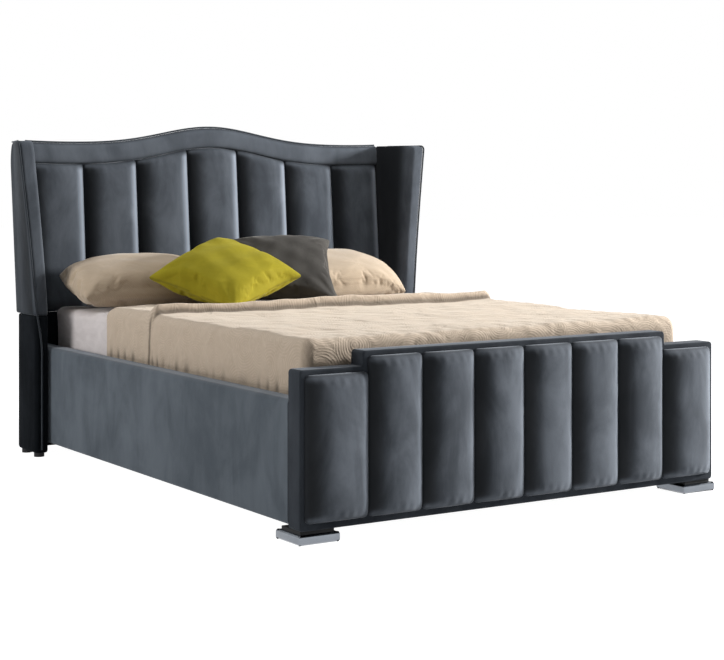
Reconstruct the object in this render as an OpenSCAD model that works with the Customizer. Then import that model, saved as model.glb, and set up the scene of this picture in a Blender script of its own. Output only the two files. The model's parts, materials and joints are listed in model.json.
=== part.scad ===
// A gas lift storage bed: padded wing headboard, channelled footboard, and a mattress platform
// that rises at its foot end on two arms and a gas strut each side.
// X runs across the bed, +Y towards the headboard, +Z up. The origin is on the floor in the middle.

/* [Mattress] */
// Width of the mattress
mattress_w = 1500; // [1490:5:1510]
// Length of the mattress
mattress_l = 1965; // [1955:5:1980]
// Thickness of the mattress
mattress_t = 224; // [180:2:240]
// Gap between the mattress and the headboard
head_clear = 12; // [10:1:16]
// Gap between the mattress and the footboard, which the lifting platform swings through
foot_clear = 29; // [29:1:34]
// Gap between the mattress and each side rail
side_clear = 10; // [9:1:14]

/* [Side rails] */
// Thickness of a padded side rail
rail_t = 70; // [50:1:80]
// Height of the rail's lower edge above the floor
rail_z0 = 50; // [44:1:60]
// Height of the rail's top edge above the floor
rail_top = 424; // [400:1:440]
// Radius of the rail's padded edges
rail_edge_r = 14; // [6:1:20]

/* [Footboard] */
// Thickness of the footboard without its pads
foot_t = 70; // [56:1:80]
// Height of the footboard's lower edge above the floor
foot_z0 = 40; // [36:1:48]
// Height of the low shoulders at both ends
foot_shoulder = 516; // [480:1:540]
// Height of the raised middle
foot_top = 562; // [550:1:580]
// Width of the raised middle
foot_raised_w = 1218; // [1180:2:1260]
// Radius of the footboard's corners
foot_corner_r = 12; // [6:1:16]
// Plain border beside and above the pads
foot_border = 16; // [12:1:24]
// Plain border under the pads
foot_border_low = 22; // [16:1:30]
// How far the pads stand out of the footboard
foot_crown = 34; // [24:1:40]

/* [Headboard] */
// Thickness of the lower headboard behind the mattress
base_t = 18; // [16:1:22]
// Thickness of the upper headboard's board
panel_t = 22; // [18:1:26]
// How far the upper board sits behind the lower one's front face
panel_setback = 20; // [18:1:26]
// Height where the lower and the upper headboard meet
split_z = 550; // [530:1:560]
// Joint gap between the lower and the upper headboard
split_gap = 2; // [1:1:4]
// Lean of the upper headboard from upright
rake = 4.5; // [3:0.1:6]
// Height of the headboard's top edge beside the wings
edge_z = 1222; // [1180:1:1240]
// Height of the crest above that edge
crest_h = 74; // [40:1:90]
// Half width of the crest, where it has fallen to about a third
crest_w = 315; // [260:1:360]
// Height of the plain border above the channels
border_h = 84; // [60:1:100]
// How far the border stands out of the board
border_crown = 16; // [8:1:20]
// Number of channels
channels = 7; // [5:1:9]
// How far the channels stand out of the board
head_crown = 32; // [24:1:33]
// Radius of the piping
piping_r = 3.5; // [2.5:0.5:5]

/* [Wings] */
// Thickness of a wing
wing_t = 55; // [45:1:60]
// How far the wing comes forward of the lower headboard's front face
wing_depth = 171; // [150:1:190]
// How far the wing's front edge flares out at the top
wing_flare = 57; // [30:1:70]
// Height of the wing's lower edge above the floor
wing_z0 = 16; // [12:1:24]
// Radius of the wing's padded edges
wing_edge_r = 16; // [10:1:20]
// Radius of the wing's upper front corner seen from the side
wing_corner_r = 22; // [14:1:30]
// How far the wing's upper back corner is rounded off, from front to back
wing_round_l = 60; // [40:1:70]
// How far it is rounded off in height
wing_round_h = 110; // [80:1:120]
// How much further out the wing's padded outer face stands at its top
wing_swell = 8; // [0:1:12]

/* [Feet] */
// Width of a front foot
plinth_w = 142; // [120:2:160]
// Depth of a front foot
plinth_d = 138; // [110:2:150]
// How far a front foot stands out of the footboard's faces
plinth_proud = 5; // [2:1:8]
// Height of the chrome lower tier
plinth_h = 30; // [24:1:32]
// Size of the lower tier's slanted upper and lower edges
plinth_slant = 6; // [3:1:9]
// Inset of the dark collar above it
collar_inset = 12; // [9:1:16]
// Radius of a rear glide
glide_r = 20; // [15:1:24]

/* [Storage floor] */
// Height of the floor battens' top
floor_z = 66; // [62:1:68]
// Thickness of the floor panels
floor_t = 5; // [3:1:6]
// Width of the centre floor rail
floor_rail_w = 50; // [40:1:70]

/* [Lift platform] */
// Height of the platform's underside above the floor
deck_z = 290; // [288:1:292]
// Height of the platform's steel bars
bar_h = 40; // [38:1:42]
// Width of the platform's steel bars
bar_w = 30; // [26:1:32]
// Wall of the platform's steel bars
bar_wall = 2; // [1.5:0.5:3]
// Gap from a side rail to the platform's side bars, which holds the lift mechanism
lift_zone = 44; // [44:1:48]
// Thickness of a slat
slat_t = 12; // [10:1:14]
// Width of a slat
slat_w = 63; // [50:1:70]
// Number of slats in each of the two rows
slat_count = 13; // [9:1:15]

/* [Lift mechanism] */
// Front arm's lower pivot: distance from the lower headboard
front_low_u = 706; // [704:1:708]
// Front arm's lower pivot: height
front_low_z = 239; // [238:1:240]
// Front arm's upper pivot: distance from the lower headboard
front_up_u = 150; // [149:1:151]
// Front arm's upper pivot: height
front_up_z = 313; // [312:1:314]
// Rear arm's lower pivot: distance from the lower headboard
rear_low_u = 910; // [909:1:911]
// Rear arm's lower pivot: height
rear_low_z = 90; // [89:1:91]
// Rear arm's upper pivot: distance from the lower headboard
rear_up_u = 212; // [211:1:213]
// Rear arm's upper pivot: height
rear_up_z = 232; // [231:1:233]
// Gas strut's lower stud: distance from the lower headboard
strut_low_u = 584; // [583:1:585]
// Gas strut's lower stud: height
strut_low_z = 85; // [85:1:86]
// Gas strut's upper stud: distance from the lower headboard
strut_up_u = 100; // [99:1:101]
// Gas strut's upper stud: height
strut_up_z = 274; // [273:1:275]
// Radius of the arms' pivot pins
pin_r = 6; // [5:0.5:7]
// Radius of the struts' studs
stud_r = 5; // [4:0.5:6]
// Thickness of the arms
arm_t = 5; // [4:0.5:5]
// Width of the arms
arm_w = 30; // [28:1:32]
// Thickness of the base plates and platform brackets
plate_t = 4; // [3:0.5:4]
// Radius of the gas strut's cylinder
cylinder_r = 9; // [8:0.5:10]
// Radius of the gas strut's rod
rod_r = 4; // [3:0.5:5]

/* [Clearances] */
// Radial running clearance of a pin in its bore
run_clear = 0.05; // [0.02:0.01:0.1]
// Radial clearance of the rear arm's upper eye
rear_eye_clear = 2.6; // [2.2:0.1:3]
// Radial clearance of the gas strut's upper eye
strut_eye_clear = 4.4; // [4.2:0.1:5]
// Side gap between moving plates
layer_gap = 0.5; // [0.3:0.1:0.6]
// Gap round a soft piece
soft_gap = 0.3; // [0.2:0.1:0.5]
// Gap left between a bolt and its hole
bolt_clear = 0.2; // [0.1:0.1:0.4]

/* [Bedding] */
// Thickness of the quilted bedspread on top of the mattress
spread_t = 26; // [16:1:30]
// Thickness of the bedspread where it hangs beside the mattress
spread_side_t = 5; // [4:1:6]
// Height of the bedspread's hem above the floor
spread_hem = 436; // [430:1:450]
// Distance from the mattress's foot end to the bedspread's turned-back fold
spread_l = 1430; // [1350:10:1480]
// How far the turned-back end of the bedspread reaches towards the foot
flap_l = 370; // [300:10:440]
// Thickness that the turned-back end adds
flap_t = 6; // [4:1:8]
// Height of the rolled hem of the turned-back end
fold_h = 36; // [24:1:40]
// Width of a bed pillow
pillow_w = 690; // [640:10:740]
// Depth of a bed pillow
pillow_d = 440; // [400:10:480]
// Thickness of a bed pillow
pillow_t = 130; // [110:2:150]
// Side of a scatter cushion
cushion_w = 450; // [430:5:480]
// Thickness of a scatter cushion
cushion_t = 108; // [80:2:130]

/* [Hidden] */

// Overall layout
inner_half = mattress_w / 2 + side_clear;
rail_half = inner_half + rail_t;
inner_l = head_clear + mattress_l + foot_clear;
crest_z = edge_z + crest_h;
lean = tan(rake);
head_reach = panel_setback + panel_t + (crest_z - split_z) * lean;
overall_l = foot_crown + foot_t + inner_l + head_reach;
foot_face = foot_crown - overall_l / 2;
foot_in = foot_face + foot_t;
head_face = foot_in + inner_l;

// A place at distance u from the lower headboard's front face
function at_u(u) = head_face - u;

// Front plane of the upper board, and its back, at height z
function panel_y(z) = head_face + panel_setback + max(0, z - split_z) * lean;
function panel_back(z) = panel_y(z) + panel_t / cos(rake);

// Height of the headboard's curved top edge at x
function edge_at(x) = edge_z + crest_h * exp(-pow(x / crest_w, 2)) + 6 * pow(x / rail_half, 6);

// Faces of a closed skin between two grids of nu by nv points, listed one after the other
function quad(a, b, c, d) = [[a, b, c], [a, c, d]];
function skin_faces(nu, nv) =
    let (n = nu * nv)
    [
        for (i = [0 : nu - 2], j = [0 : nv - 2])
            each quad(i * nv + j, i * nv + j + 1, (i + 1) * nv + j + 1, (i + 1) * nv + j),
        for (i = [0 : nu - 2], j = [0 : nv - 2])
            each quad(n + (i + 1) * nv + j, n + (i + 1) * nv + j + 1, n + i * nv + j + 1, n + i * nv + j),
        for (i = [0 : nu - 2])
            each quad((i + 1) * nv, n + (i + 1) * nv, n + i * nv, i * nv),
        for (i = [0 : nu - 2])
            each quad(i * nv + nv - 1, n + i * nv + nv - 1, n + (i + 1) * nv + nv - 1, (i + 1) * nv + nv - 1),
        for (j = [0 : nv - 2])
            each quad(j, n + j, n + j + 1, j + 1),
        for (j = [0 : nv - 2])
            each quad((nu - 1) * nv + j + 1, n + (nu - 1) * nv + j + 1, n + (nu - 1) * nv + j, (nu - 1) * nv + j)
    ];

// Closed solid between an outer and an inner grid, each a list of rows
module skin(outer, inner) {
    nu = len(outer);
    nv = len(outer[0]);
    polyhedron([for (row = outer) each row, for (row = inner) each row], skin_faces(nu, nv), convexity = 6);
}

// Closed solid through a stack of rings with equal counts of points
module stack(rings) {
    n = len(rings[0]);
    m = len(rings);
    polyhedron(
        [for (ring = rings) each ring],
        [
            for (k = [0 : m - 2], i = [0 : n - 1])
                each quad(k * n + i, (k + 1) * n + i, (k + 1) * n + (i + 1) % n, k * n + (i + 1) % n),
            for (i = [1 : n - 2]) [0, i, i + 1],
            for (i = [1 : n - 2]) [(m - 1) * n, (m - 1) * n + i + 1, (m - 1) * n + i]
        ],
        convexity = 6
    );
}

// Round tube of radius r along a route of points that stays near the plane square to axis
module tube(route, r, axis, sides = 6) {
    last = len(route) - 1;
    rings = [
        for (i = [0 : last])
            let (
                ahead = route[min(i + 1, last)] - route[max(i - 1, 0)],
                t = ahead / norm(ahead),
                s = cross(axis, t) / norm(cross(axis, t)),
                b = cross(t, s)
            )
            [for (k = [0 : sides - 1]) route[i] + r * (cos(360 * k / sides) * s + sin(360 * k / sides) * b)]
    ];
    stack(rings);
}

// Rounded rectangle in the plane, w by h with its lower left corner at the origin
module round_rect(w, h, r) {
    translate([r, 0]) square([w - 2 * r, h]);
    translate([0, r]) square([w, h - 2 * r]);
    for (x = [r, w - r], y = [r, h - r]) translate([x, y]) circle(r, $fn = 48);
}

// Plate lying square to X: outline given along Y (first) and Z (second)
module plate_x(x0, x1) {
    translate([x0, 0, 0]) rotate([90, 0, 90]) linear_extrude(x1 - x0) children();
}

// Round bar along X from x0 to x1 at distance u from the headboard and height z
module bar_x(x0, x1, u, z, r) {
    translate([min(x0, x1), at_u(u), z]) rotate([0, 90, 0]) cylinder(h = abs(x1 - x0), r = r, $fn = 48);
}

// Draws its children on the right side, and mirrored on the left
module both_sides() {
    children();
    mirror([1, 0, 0]) children();
}

// Colours
velvet = [0.32, 0.35, 0.39];
timber = [0.72, 0.58, 0.40];
steel = [0.30, 0.31, 0.33];
sand = [0.80, 0.72, 0.60];

// Bolted corners
bracket_leg = 60;
bracket_t = 3;
bracket_low = 110;
bracket_high = 250;
bolt_r = 4;
bolt_head_r = 8;
bolt_head_h = 4;
bolt_in = 14;
bolt_side = 38;
bolt_zs = [bracket_low + 30, bracket_high - 30];

// Bolts through the brackets' legs: into the side rails, then into the boards
module corner_bolt_shapes(grow, heads) {
    for (wall = [foot_in, head_face], z = bolt_zs) {
        turn = wall == foot_in ? 1 : -1;
        side_y = wall + turn * bolt_side;
        translate([inner_half - bracket_t, side_y, z]) rotate([0, 90, 0])
            cylinder(h = bracket_t + bolt_in + grow, r = bolt_r + grow, $fn = 32);
        translate([inner_half - bolt_side, wall + turn * bracket_t, z]) rotate([turn * 90, 0, 0])
            cylinder(h = bracket_t + bolt_in + grow, r = bolt_r + grow, $fn = 32);
        if (heads) {
            translate([inner_half - bracket_t - bolt_head_h, side_y, z]) rotate([0, 90, 0])
                cylinder(h = bolt_head_h, r = bolt_head_r, $fn = 32);
            translate([inner_half - bolt_side, wall + turn * (bracket_t + bolt_head_h), z]) rotate([turn * 90, 0, 0])
                cylinder(h = bolt_head_h, r = bolt_head_r, $fn = 32);
        }
    }
}

module corner_bolts() {
    color("silver") both_sides() corner_bolt_shapes(0, true);
}

module corner_brackets() {
    color(steel) both_sides() difference() {
        for (wall = [foot_in, head_face]) {
            turn = wall == foot_in ? 1 : -1;
            low = turn > 0 ? wall : wall - bracket_leg;
            translate([inner_half - bracket_t, low, bracket_low])
                cube([bracket_t, bracket_leg, bracket_high - bracket_low]);
            translate([inner_half - bracket_leg, turn > 0 ? wall : wall - bracket_t, bracket_low])
                cube([bracket_leg, bracket_t, bracket_high - bracket_low]);
        }
        corner_bolt_shapes(bolt_clear, false);
    }
}

// Side rail, right one; the left one is its mirror image
module side_rail() {
    color(velvet) difference() {
        translate([inner_half, head_face, rail_z0]) rotate([90, 0, 0])
            linear_extrude(inner_l) round_rect(rail_t, rail_top - rail_z0, rail_edge_r);
        corner_bolt_shapes(bolt_clear, false);
    }
}

module side_rail_right() {
    side_rail();
}

module side_rail_left() {
    mirror([1, 0, 0]) side_rail();
}

// Footboard: one upholstered board whose middle stands higher than its shoulders
module footboard() {
    color(velvet) difference() {
        translate([0, foot_in, 0]) rotate([90, 0, 0]) linear_extrude(foot_t) union() {
            translate([-rail_half, foot_z0]) round_rect(2 * rail_half, foot_shoulder - foot_z0, foot_corner_r);
            translate([-foot_raised_w / 2, foot_z0])
                round_rect(foot_raised_w, foot_top - foot_z0, foot_corner_r);
        }
        both_sides() corner_bolt_shapes(bolt_clear, false);
    }
}

// Channelled pads: each swells from a thin rim to its crown, and rolls over at both ends
pad_rim = 3;
pad_roll = 45;
seam_gap = 0.6;
across = [-1, -0.92, -0.64, 0, 0.64, 0.92, 1];
roll_steps = [0, 4, 16, pad_roll];

// Swell of a pad at s across, from -1 to 1, and at a distance from its nearer end
function swell(s, end) =
    pow(1 - pow(abs(s), 2.3), 0.5) * sqrt(max(0, 1 - pow(1 - min(1, end / pad_roll), 2)));

// Pad between x0 and x1, from z0 up to a height that may differ at each x
module pad(x0, x1, z0, tops, faces_y, crown) {
    xs = [for (s = across) (x0 + x1) / 2 + s * (x1 - x0) / 2];
    zs = [
        for (i = [0 : len(across) - 1])
            concat([for (d = roll_steps) z0 + d], [for (k = [len(roll_steps) - 1 : -1 : 0]) tops[i] - roll_steps[k]])
    ];
    outer = [
        for (i = [0 : len(across) - 1])
            [
                for (z = zs[i])
                    [xs[i], faces_y[0] + max(0, z - split_z) * faces_y[1]
                        - pad_rim - (crown - pad_rim) * swell(across[i], min(z - z0, tops[i] - z)), z]
            ]
    ];
    inner = [
        for (i = [0 : len(across) - 1])
            [for (z = zs[i]) [xs[i], faces_y[0] + max(0, z - split_z) * faces_y[1] - soft_gap, z]]
    ];
    color(velvet) skin(outer, inner);
}

// Footboard pads: one low pad at each end, the rest under the raised middle
foot_pads = 8;
foot_inner_w = (foot_raised_w - 2 * foot_border) / (foot_pads - 2);
function foot_seam(k) =
    k == 0 ? -rail_half + foot_border
    : k == foot_pads ? rail_half - foot_border
    : (k - foot_pads / 2) * foot_inner_w;

module footboard_pad(k) {
    is_end = k == 1 || k == foot_pads;
    top = (is_end ? foot_shoulder : foot_top) - foot_border;
    pad(
        foot_seam(k - 1) + seam_gap / 2, foot_seam(k) - seam_gap / 2, foot_z0 + foot_border_low,
        [for (s = across) top], [foot_face, 0], foot_crown
    );
}

// Lower headboard, behind the mattress, as wide as the space between the wings
wing_in = rail_half + 4;
panel_half = wing_in - soft_gap;
module headboard_base() {
    color(velvet) difference() {
        translate([-panel_half, head_face, wing_z0])
            cube([2 * panel_half, base_t, split_z - split_gap - wing_z0]);
        both_sides() corner_bolt_shapes(bolt_clear, false);
    }
}

// Upper board between the wings, cut to the curved top edge and leaned back
edge_steps = 42;
edge_xs = [for (i = [0 : edge_steps]) -panel_half + 2 * panel_half * i / edge_steps];

module headboard_panel() {
    color(velvet) translate([0, panel_y(split_z), split_z]) rotate([-rake, 0, 0])
        translate([0, panel_t, 0]) rotate([90, 0, 0]) linear_extrude(panel_t)
            polygon([
                [-panel_half, 0], [panel_half, 0],
                for (i = [edge_steps : -1 : 0])
                    [edge_xs[i], (edge_at(edge_xs[i]) - split_z) / cos(rake)]
            ]);
}

head_seam_half = panel_half - 4;
function head_seam(k) = -head_seam_half + 2 * head_seam_half * k / channels;

module headboard_pad(k) {
    x0 = head_seam(k - 1) + seam_gap / 2;
    x1 = head_seam(k) - seam_gap / 2;
    tops = [for (s = across) edge_at((x0 + x1) / 2 + s * (x1 - x0) / 2) - border_h];
    pad(x0, x1, split_z - split_gap + soft_gap, tops, [panel_y(split_z), lean], head_crown);
}

// Padded border along the curved edge, above the channels
border_across = [-1, -0.9, -0.6, 0, 0.6, 0.9, 1];
module headboard_border() {
    outer = [
        for (x = edge_xs)
            [
                for (s = border_across)
                    let (z = edge_at(x) - border_h / 2 + s * (border_h / 2 - seam_gap))
                    [x, panel_y(z) - pad_rim - (border_crown - pad_rim) * pow(1 - pow(abs(s), 5), 0.5), z]
            ]
    ];
    inner = [
        for (x = edge_xs)
            [
                for (s = border_across)
                    let (z = edge_at(x) - border_h / 2 + s * (border_h / 2 - seam_gap))
                    [x, panel_y(z) - soft_gap, z]
            ]
    ];
    color(velvet) skin(outer, inner);
}

// Piping that crowns the curved edge
module headboard_piping() {
    route = [
        for (x = edge_xs)
            let (z = edge_at(x) + piping_r + soft_gap)
            [x, panel_y(z) + piping_r, z]
    ];
    color(velvet) tube(route, piping_r, [0, 1, 0]);
}

// Wing outlines: rings square to Z, each a rounded outline from front to back
corner_turns = [0, 30, 60, 90];

// Share of the flare at height z, which grows upwards from the split
function flare_at(z) = wing_flare * pow(max(0, z - split_z) / (wing_top - split_z), 1.25);
wing_top = edge_z + 5;

// How far an upper corner l deep and h high has closed in at height z, on a quarter of an ellipse
function corner_in(z, l, h) =
    let (d = max(0, z - (wing_top - h)) / h)
    l * (1 - sqrt(max(0, 1 - d * d)));

// How much further out the outer face stands at height z
function swell_at(z) = wing_swell * max(0, z - split_z) / (wing_top - split_z);

function wing_front(z) = head_face - wing_depth + 16 * max(0, z - split_z) / (wing_top - split_z);

// One ring of a wing: y_front and y_back bound it, and inset draws its edges in
function wing_ring(z, y_front, y_back, fl, inset) =
    let (
        r = wing_edge_r,
        xi = wing_in + inset,
        xo = wing_in + wing_t + swell_at(z) - inset,
        yf = y_front + inset,
        yb = y_back - inset,
        hinge = min(panel_y(z) - head_crown, yb - r - 2),
        bend = function (y) fl * max(0, (hinge - y) / (hinge - yf))
    )
    [
        for (a = corner_turns) let (y = yf + r - r * cos(a)) [xo - r + r * sin(a) + bend(y), y, z],
        for (a = corner_turns) let (y = yb - r + r * sin(a)) [xo - r + r * cos(a), y, z],
        [xi, yb, z],
        [xi, max(hinge, yf + r + 1), z],
        for (a = corner_turns) let (y = yf + r - r * sin(a)) [xi + r - r * cos(a) + bend(y), y, z]
    ];

module wing() {
    zs = concat(
        [split_z, split_z + 4],
        [for (i = [1 : 5]) split_z + i * (wing_top - wing_round_h - split_z) / 5],
        [for (part = [0.6, 0.3]) wing_top - part * wing_round_h],
        [for (part = [0.6, 0.2]) wing_top - part * wing_corner_r],
        [wing_top]
    );
    color(velvet) stack([
        for (i = [0 : len(zs) - 1])
            let (
                z = zs[i],
                level = min(z, wing_top - 3),
                inset = i == 0 ? 4 : i == len(zs) - 1 ? 5 : i == len(zs) - 2 ? 1 : 0
            )
            wing_ring(z, wing_front(z) + corner_in(level, wing_corner_r, wing_corner_r),
                panel_back(z) - corner_in(level, wing_round_l, wing_round_h), flare_at(z), inset)
    ]);
}

module wing_right() {
    wing();
}

module wing_left() {
    mirror([1, 0, 0]) wing();
}

// Lower part of a wing, upright beside the lower headboard
module wing_base() {
    zs = [wing_z0, wing_z0 + 3, wing_z0 + 12, split_z - split_gap - 8, split_z - split_gap];
    insets = [10, 4, 0, 0, 4];
    color(velvet) stack([
        for (i = [0 : len(zs) - 1])
            wing_ring(zs[i], wing_front(0), head_face + base_t, 0, insets[i])
    ]);
}

module wing_base_right() {
    wing_base();
}

module wing_base_left() {
    mirror([1, 0, 0]) wing_base();
}

// Piping on each wing: on the outer front edge of the upper part, and nearer the bed lower down
piping_low = wing_z0 + 14;
piping_drift = [400, 610];
piping_inner = wing_in + 30;
function piping_x(z) =
    let (
        part = min(1, max(0, (z - piping_drift[0]) / (piping_drift[1] - piping_drift[0]))),
        outer = wing_in + wing_t + swell_at(z) - wing_edge_r + (wing_edge_r + piping_r + soft_gap) * sin(45)
    )
    piping_inner + (outer - piping_inner) * part * part * (3 - 2 * part);

// Centre of the piping in front of the wing's face, or round its outer edge
function piping_y(x, z) =
    let (past = max(0, x - (wing_in + wing_t + swell_at(z) - wing_edge_r)))
    wing_front(z) + wing_edge_r - sqrt(pow(wing_edge_r + piping_r + soft_gap, 2) - past * past);

// Outward bend of the wing at height z and at y
function bend_at(z, y) =
    let (hinge = panel_y(z) - head_crown)
    flare_at(z) * (hinge - y) / (hinge - wing_front(z));

module wing_piping() {
    zs = concat(
        [for (i = [0 : 3]) piping_low + i * (piping_drift[0] - piping_low) / 4],
        [for (i = [0 : 5]) piping_drift[0] + i * (piping_drift[1] - piping_drift[0]) / 6],
        [for (i = [0 : 7]) piping_drift[1] + i * (wing_top - wing_corner_r - piping_drift[1]) / 7]
    );
    route = [for (z = zs) let (x = piping_x(z), y = piping_y(x, z)) [x + bend_at(z, y), y, z]];
    color(velvet) both_sides() tube(route, piping_r, [0, 1, 0]);
}

// Joggled steel straps that hold the upper board on the lower one
strap_w = 50;
strap_t = 4;
strap_low = 380;
strap_up = 250;
strap_x = 500;
jog_z = split_z - split_gap - 2 * strap_t;
module headboard_straps() {
    color(steel) both_sides() translate([strap_x, 0, 0]) {
        translate([0, head_face + base_t, strap_low]) cube([strap_w, strap_t, jog_z + strap_t - strap_low]);
        translate([0, head_face + base_t, jog_z])
            cube([strap_w, panel_back(split_z) - head_face - base_t + strap_t / 2, strap_t]);
        translate([0, panel_y(split_z), split_z]) rotate([-rake, 0, 0])
            translate([0, panel_t, -2 * strap_t]) cube([strap_w, strap_t, strap_up]);
    }
}

// Glides under the headboard's wings
glide_ys = [wing_front(0) + 32, head_face - 14];
module rear_glides() {
    color("black") both_sides() for (y = glide_ys)
        translate([wing_in + wing_t / 2, y, 0]) cylinder(h = wing_z0, r = glide_r, $fn = 40);
}

// Front feet: a chrome lower tier with slanted edges, and a darker collar set in above it
collar_corner_r = 4;
module foot_tier(z0, z1, inset, r) {
    w = plinth_w - 2 * inset;
    d = plinth_d - 2 * inset;
    both_sides() translate([rail_half + plinth_proud - inset - w, foot_face - plinth_proud + inset, z0])
        linear_extrude(z1 - z0) round_rect(w, d, r);
}

// Profile of the lower tier over a width
module tier_profile(w) {
    polygon([
        [-w / 2 + plinth_slant, 0], [w / 2 - plinth_slant, 0],
        [w / 2, plinth_slant], [w / 2, plinth_h - plinth_slant],
        [w / 2 - plinth_slant, plinth_h], [-w / 2 + plinth_slant, plinth_h],
        [-w / 2, plinth_h - plinth_slant], [-w / 2, plinth_slant]
    ]);
}

module front_feet() {
    color("silver") both_sides()
        translate([rail_half + plinth_proud - plinth_w / 2, foot_face - plinth_proud + plinth_d / 2, 0])
        intersection() {
            rotate([90, 0, 0]) translate([0, 0, -plinth_d / 2]) linear_extrude(plinth_d) tier_profile(plinth_w);
            rotate([90, 0, 90]) translate([0, 0, -plinth_w / 2]) linear_extrude(plinth_w) tier_profile(plinth_d);
        }
}

module front_foot_collars() {
    color([0.1, 0.1, 0.11]) intersection() {
        foot_tier(plinth_h, foot_z0, collar_inset, collar_corner_r);
        translate([-rail_half, foot_face, 0]) cube([2 * rail_half, 2 * plinth_d, foot_z0]);
    }
}

// Storage floor: battens on the rails, a centre rail on feet, and four panels on top
batten_w = 30;
batten_h = floor_z - rail_z0;
module floor_battens() {
    color(timber) both_sides() translate([inner_half - batten_w, foot_in, rail_z0])
        cube([batten_w, inner_l, batten_h]);
}

panel_seam = 2;
panel_side_gap = 4;
module storage_floor() {
    w = inner_half - panel_side_gap - panel_seam / 2;
    l = (inner_l - 3 * panel_seam) / 2;
    color([0.16, 0.16, 0.17]) both_sides() for (i = [0, 1])
        translate([panel_seam / 2, foot_in + panel_seam + i * (l + panel_seam), floor_z]) cube([w, l, floor_t]);
}

rail_foot_hole = 12;
rail_foot_in = 300;
rail_foot_us = [rail_foot_in, inner_l / 2, inner_l - rail_foot_in];
centre_rail_z0 = 30;
rail_foot_r = 6;
rail_foot_pad = [8, 20];
rail_foot_collar = [4, 14];
module centre_floor_rail() {
    color(timber) difference() {
        translate([-floor_rail_w / 2, foot_in, centre_rail_z0])
            cube([floor_rail_w, inner_l, floor_z - centre_rail_z0]);
        for (u = rail_foot_us) translate([0, at_u(u), centre_rail_z0 - 1])
            cylinder(h = rail_foot_hole + 1 + bolt_clear, r = rail_foot_r + bolt_clear, $fn = 32);
    }
}

module centre_rail_feet() {
    color("black") for (u = rail_foot_us) translate([0, at_u(u), 0]) {
        cylinder(h = rail_foot_pad[0], r = rail_foot_pad[1], $fn = 40);
        cylinder(h = centre_rail_z0 + rail_foot_hole, r = rail_foot_r, $fn = 32);
        translate([0, 0, centre_rail_z0 - rail_foot_collar[0]])
            cylinder(h = rail_foot_collar[0], r = rail_foot_collar[1], $fn = 40);
    }
}

// Ledges that the closed platform rests on, along the rails near the foot
rest_h = 28;
rest_w = 74;
rest_end_gap = 70;
rest_l = 620;
module platform_rests() {
    color(timber) both_sides()
        translate([inner_half - rest_w, foot_in + rest_end_gap, deck_z - rest_h - soft_gap])
            cube([rest_w, rest_l, rest_h]);
}

// Layers of the lift mechanism, measured inwards from the rail's inner face
plate_in = inner_half - plate_t;
front_out = plate_in - layer_gap;
front_in = front_out - arm_t;
bracket_out = front_in - layer_gap;
bracket_in = bracket_out - plate_t;
rear_out = bracket_in - layer_gap;
rear_in = rear_out - arm_t;
strut_x = rear_in - 3.5 - cylinder_r;
eye_half = 6;
bar_out = inner_half - lift_zone;

// Base plate bolted to the rail, with the arms' lower pins and the strut's lower stud
base_u0 = 566;
base_u1 = 934;
base_low = 75;
base_high = 262;
head_h = 2;
pin_lip = 4;
stud_lip = 3;
eye_lip = 2;
plate_corner_r = 10;
module lift_base() {
    color(steel) union() {
        plate_x(plate_in, inner_half)
            translate([at_u(base_u1), base_low])
                round_rect(base_u1 - base_u0, base_high - base_low, plate_corner_r);
        bar_x(plate_in, front_in - layer_gap / 2, front_low_u, front_low_z, pin_r);
        bar_x(front_in - layer_gap / 2 - head_h, front_in - layer_gap / 2, front_low_u, front_low_z, pin_r + pin_lip);
        bar_x(plate_in, rear_out + layer_gap / 2, rear_low_u, rear_low_z, pin_r + pin_lip);
        bar_x(rear_in - layer_gap / 2, plate_in, rear_low_u, rear_low_z, pin_r);
        bar_x(rear_in - layer_gap / 2 - head_h, rear_in - layer_gap / 2, rear_low_u, rear_low_z, pin_r + pin_lip);
        bar_x(strut_x + eye_half + layer_gap, plate_in, strut_low_u, strut_low_z, stud_r + stud_lip);
        bar_x(strut_x - eye_half - layer_gap, plate_in, strut_low_u, strut_low_z, stud_r);
        bar_x(strut_x - eye_half - layer_gap - head_h, strut_x - eye_half - layer_gap,
            strut_low_u, strut_low_z, stud_r + stud_lip);
    }
}

module lift_base_right() {
    lift_base();
}

module lift_base_left() {
    mirror([1, 0, 0]) lift_base();
}

// Flat arm between two pivots, with an eye at each end
module arm(x0, x1, low, up, r_low, r_up) {
    span = up - low;
    l = norm(span);
    angle = atan2(span[1], -span[0]);
    color("silver") difference() {
        translate([x0, at_u(low[0]), low[1]]) rotate([angle, 0, 0]) rotate([0, 90, 0]) union() {
            cylinder(h = x1 - x0, r = arm_w / 2, $fn = 64);
            translate([0, l, 0]) cylinder(h = x1 - x0, r = arm_w / 2, $fn = 64);
            translate([-arm_w * 0.4, 0, 0]) cube([arm_w * 0.8, l, x1 - x0]);
        }
        bar_x(x0 - 1, x1 + 1, low[0], low[1], r_low);
        bar_x(x0 - 1, x1 + 1, up[0], up[1], r_up);
    }
}

module front_arm() {
    arm(front_in, front_out, [front_low_u, front_low_z], [front_up_u, front_up_z],
        pin_r + run_clear, pin_r + run_clear);
}

module front_arm_right() {
    front_arm();
}

module front_arm_left() {
    mirror([1, 0, 0]) front_arm();
}

module rear_arm() {
    arm(rear_in, rear_out, [rear_low_u, rear_low_z], [rear_up_u, rear_up_z],
        pin_r + run_clear, pin_r + rear_eye_clear);
}

module rear_arm_right() {
    rear_arm();
}

module rear_arm_left() {
    mirror([1, 0, 0]) rear_arm();
}

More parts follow.
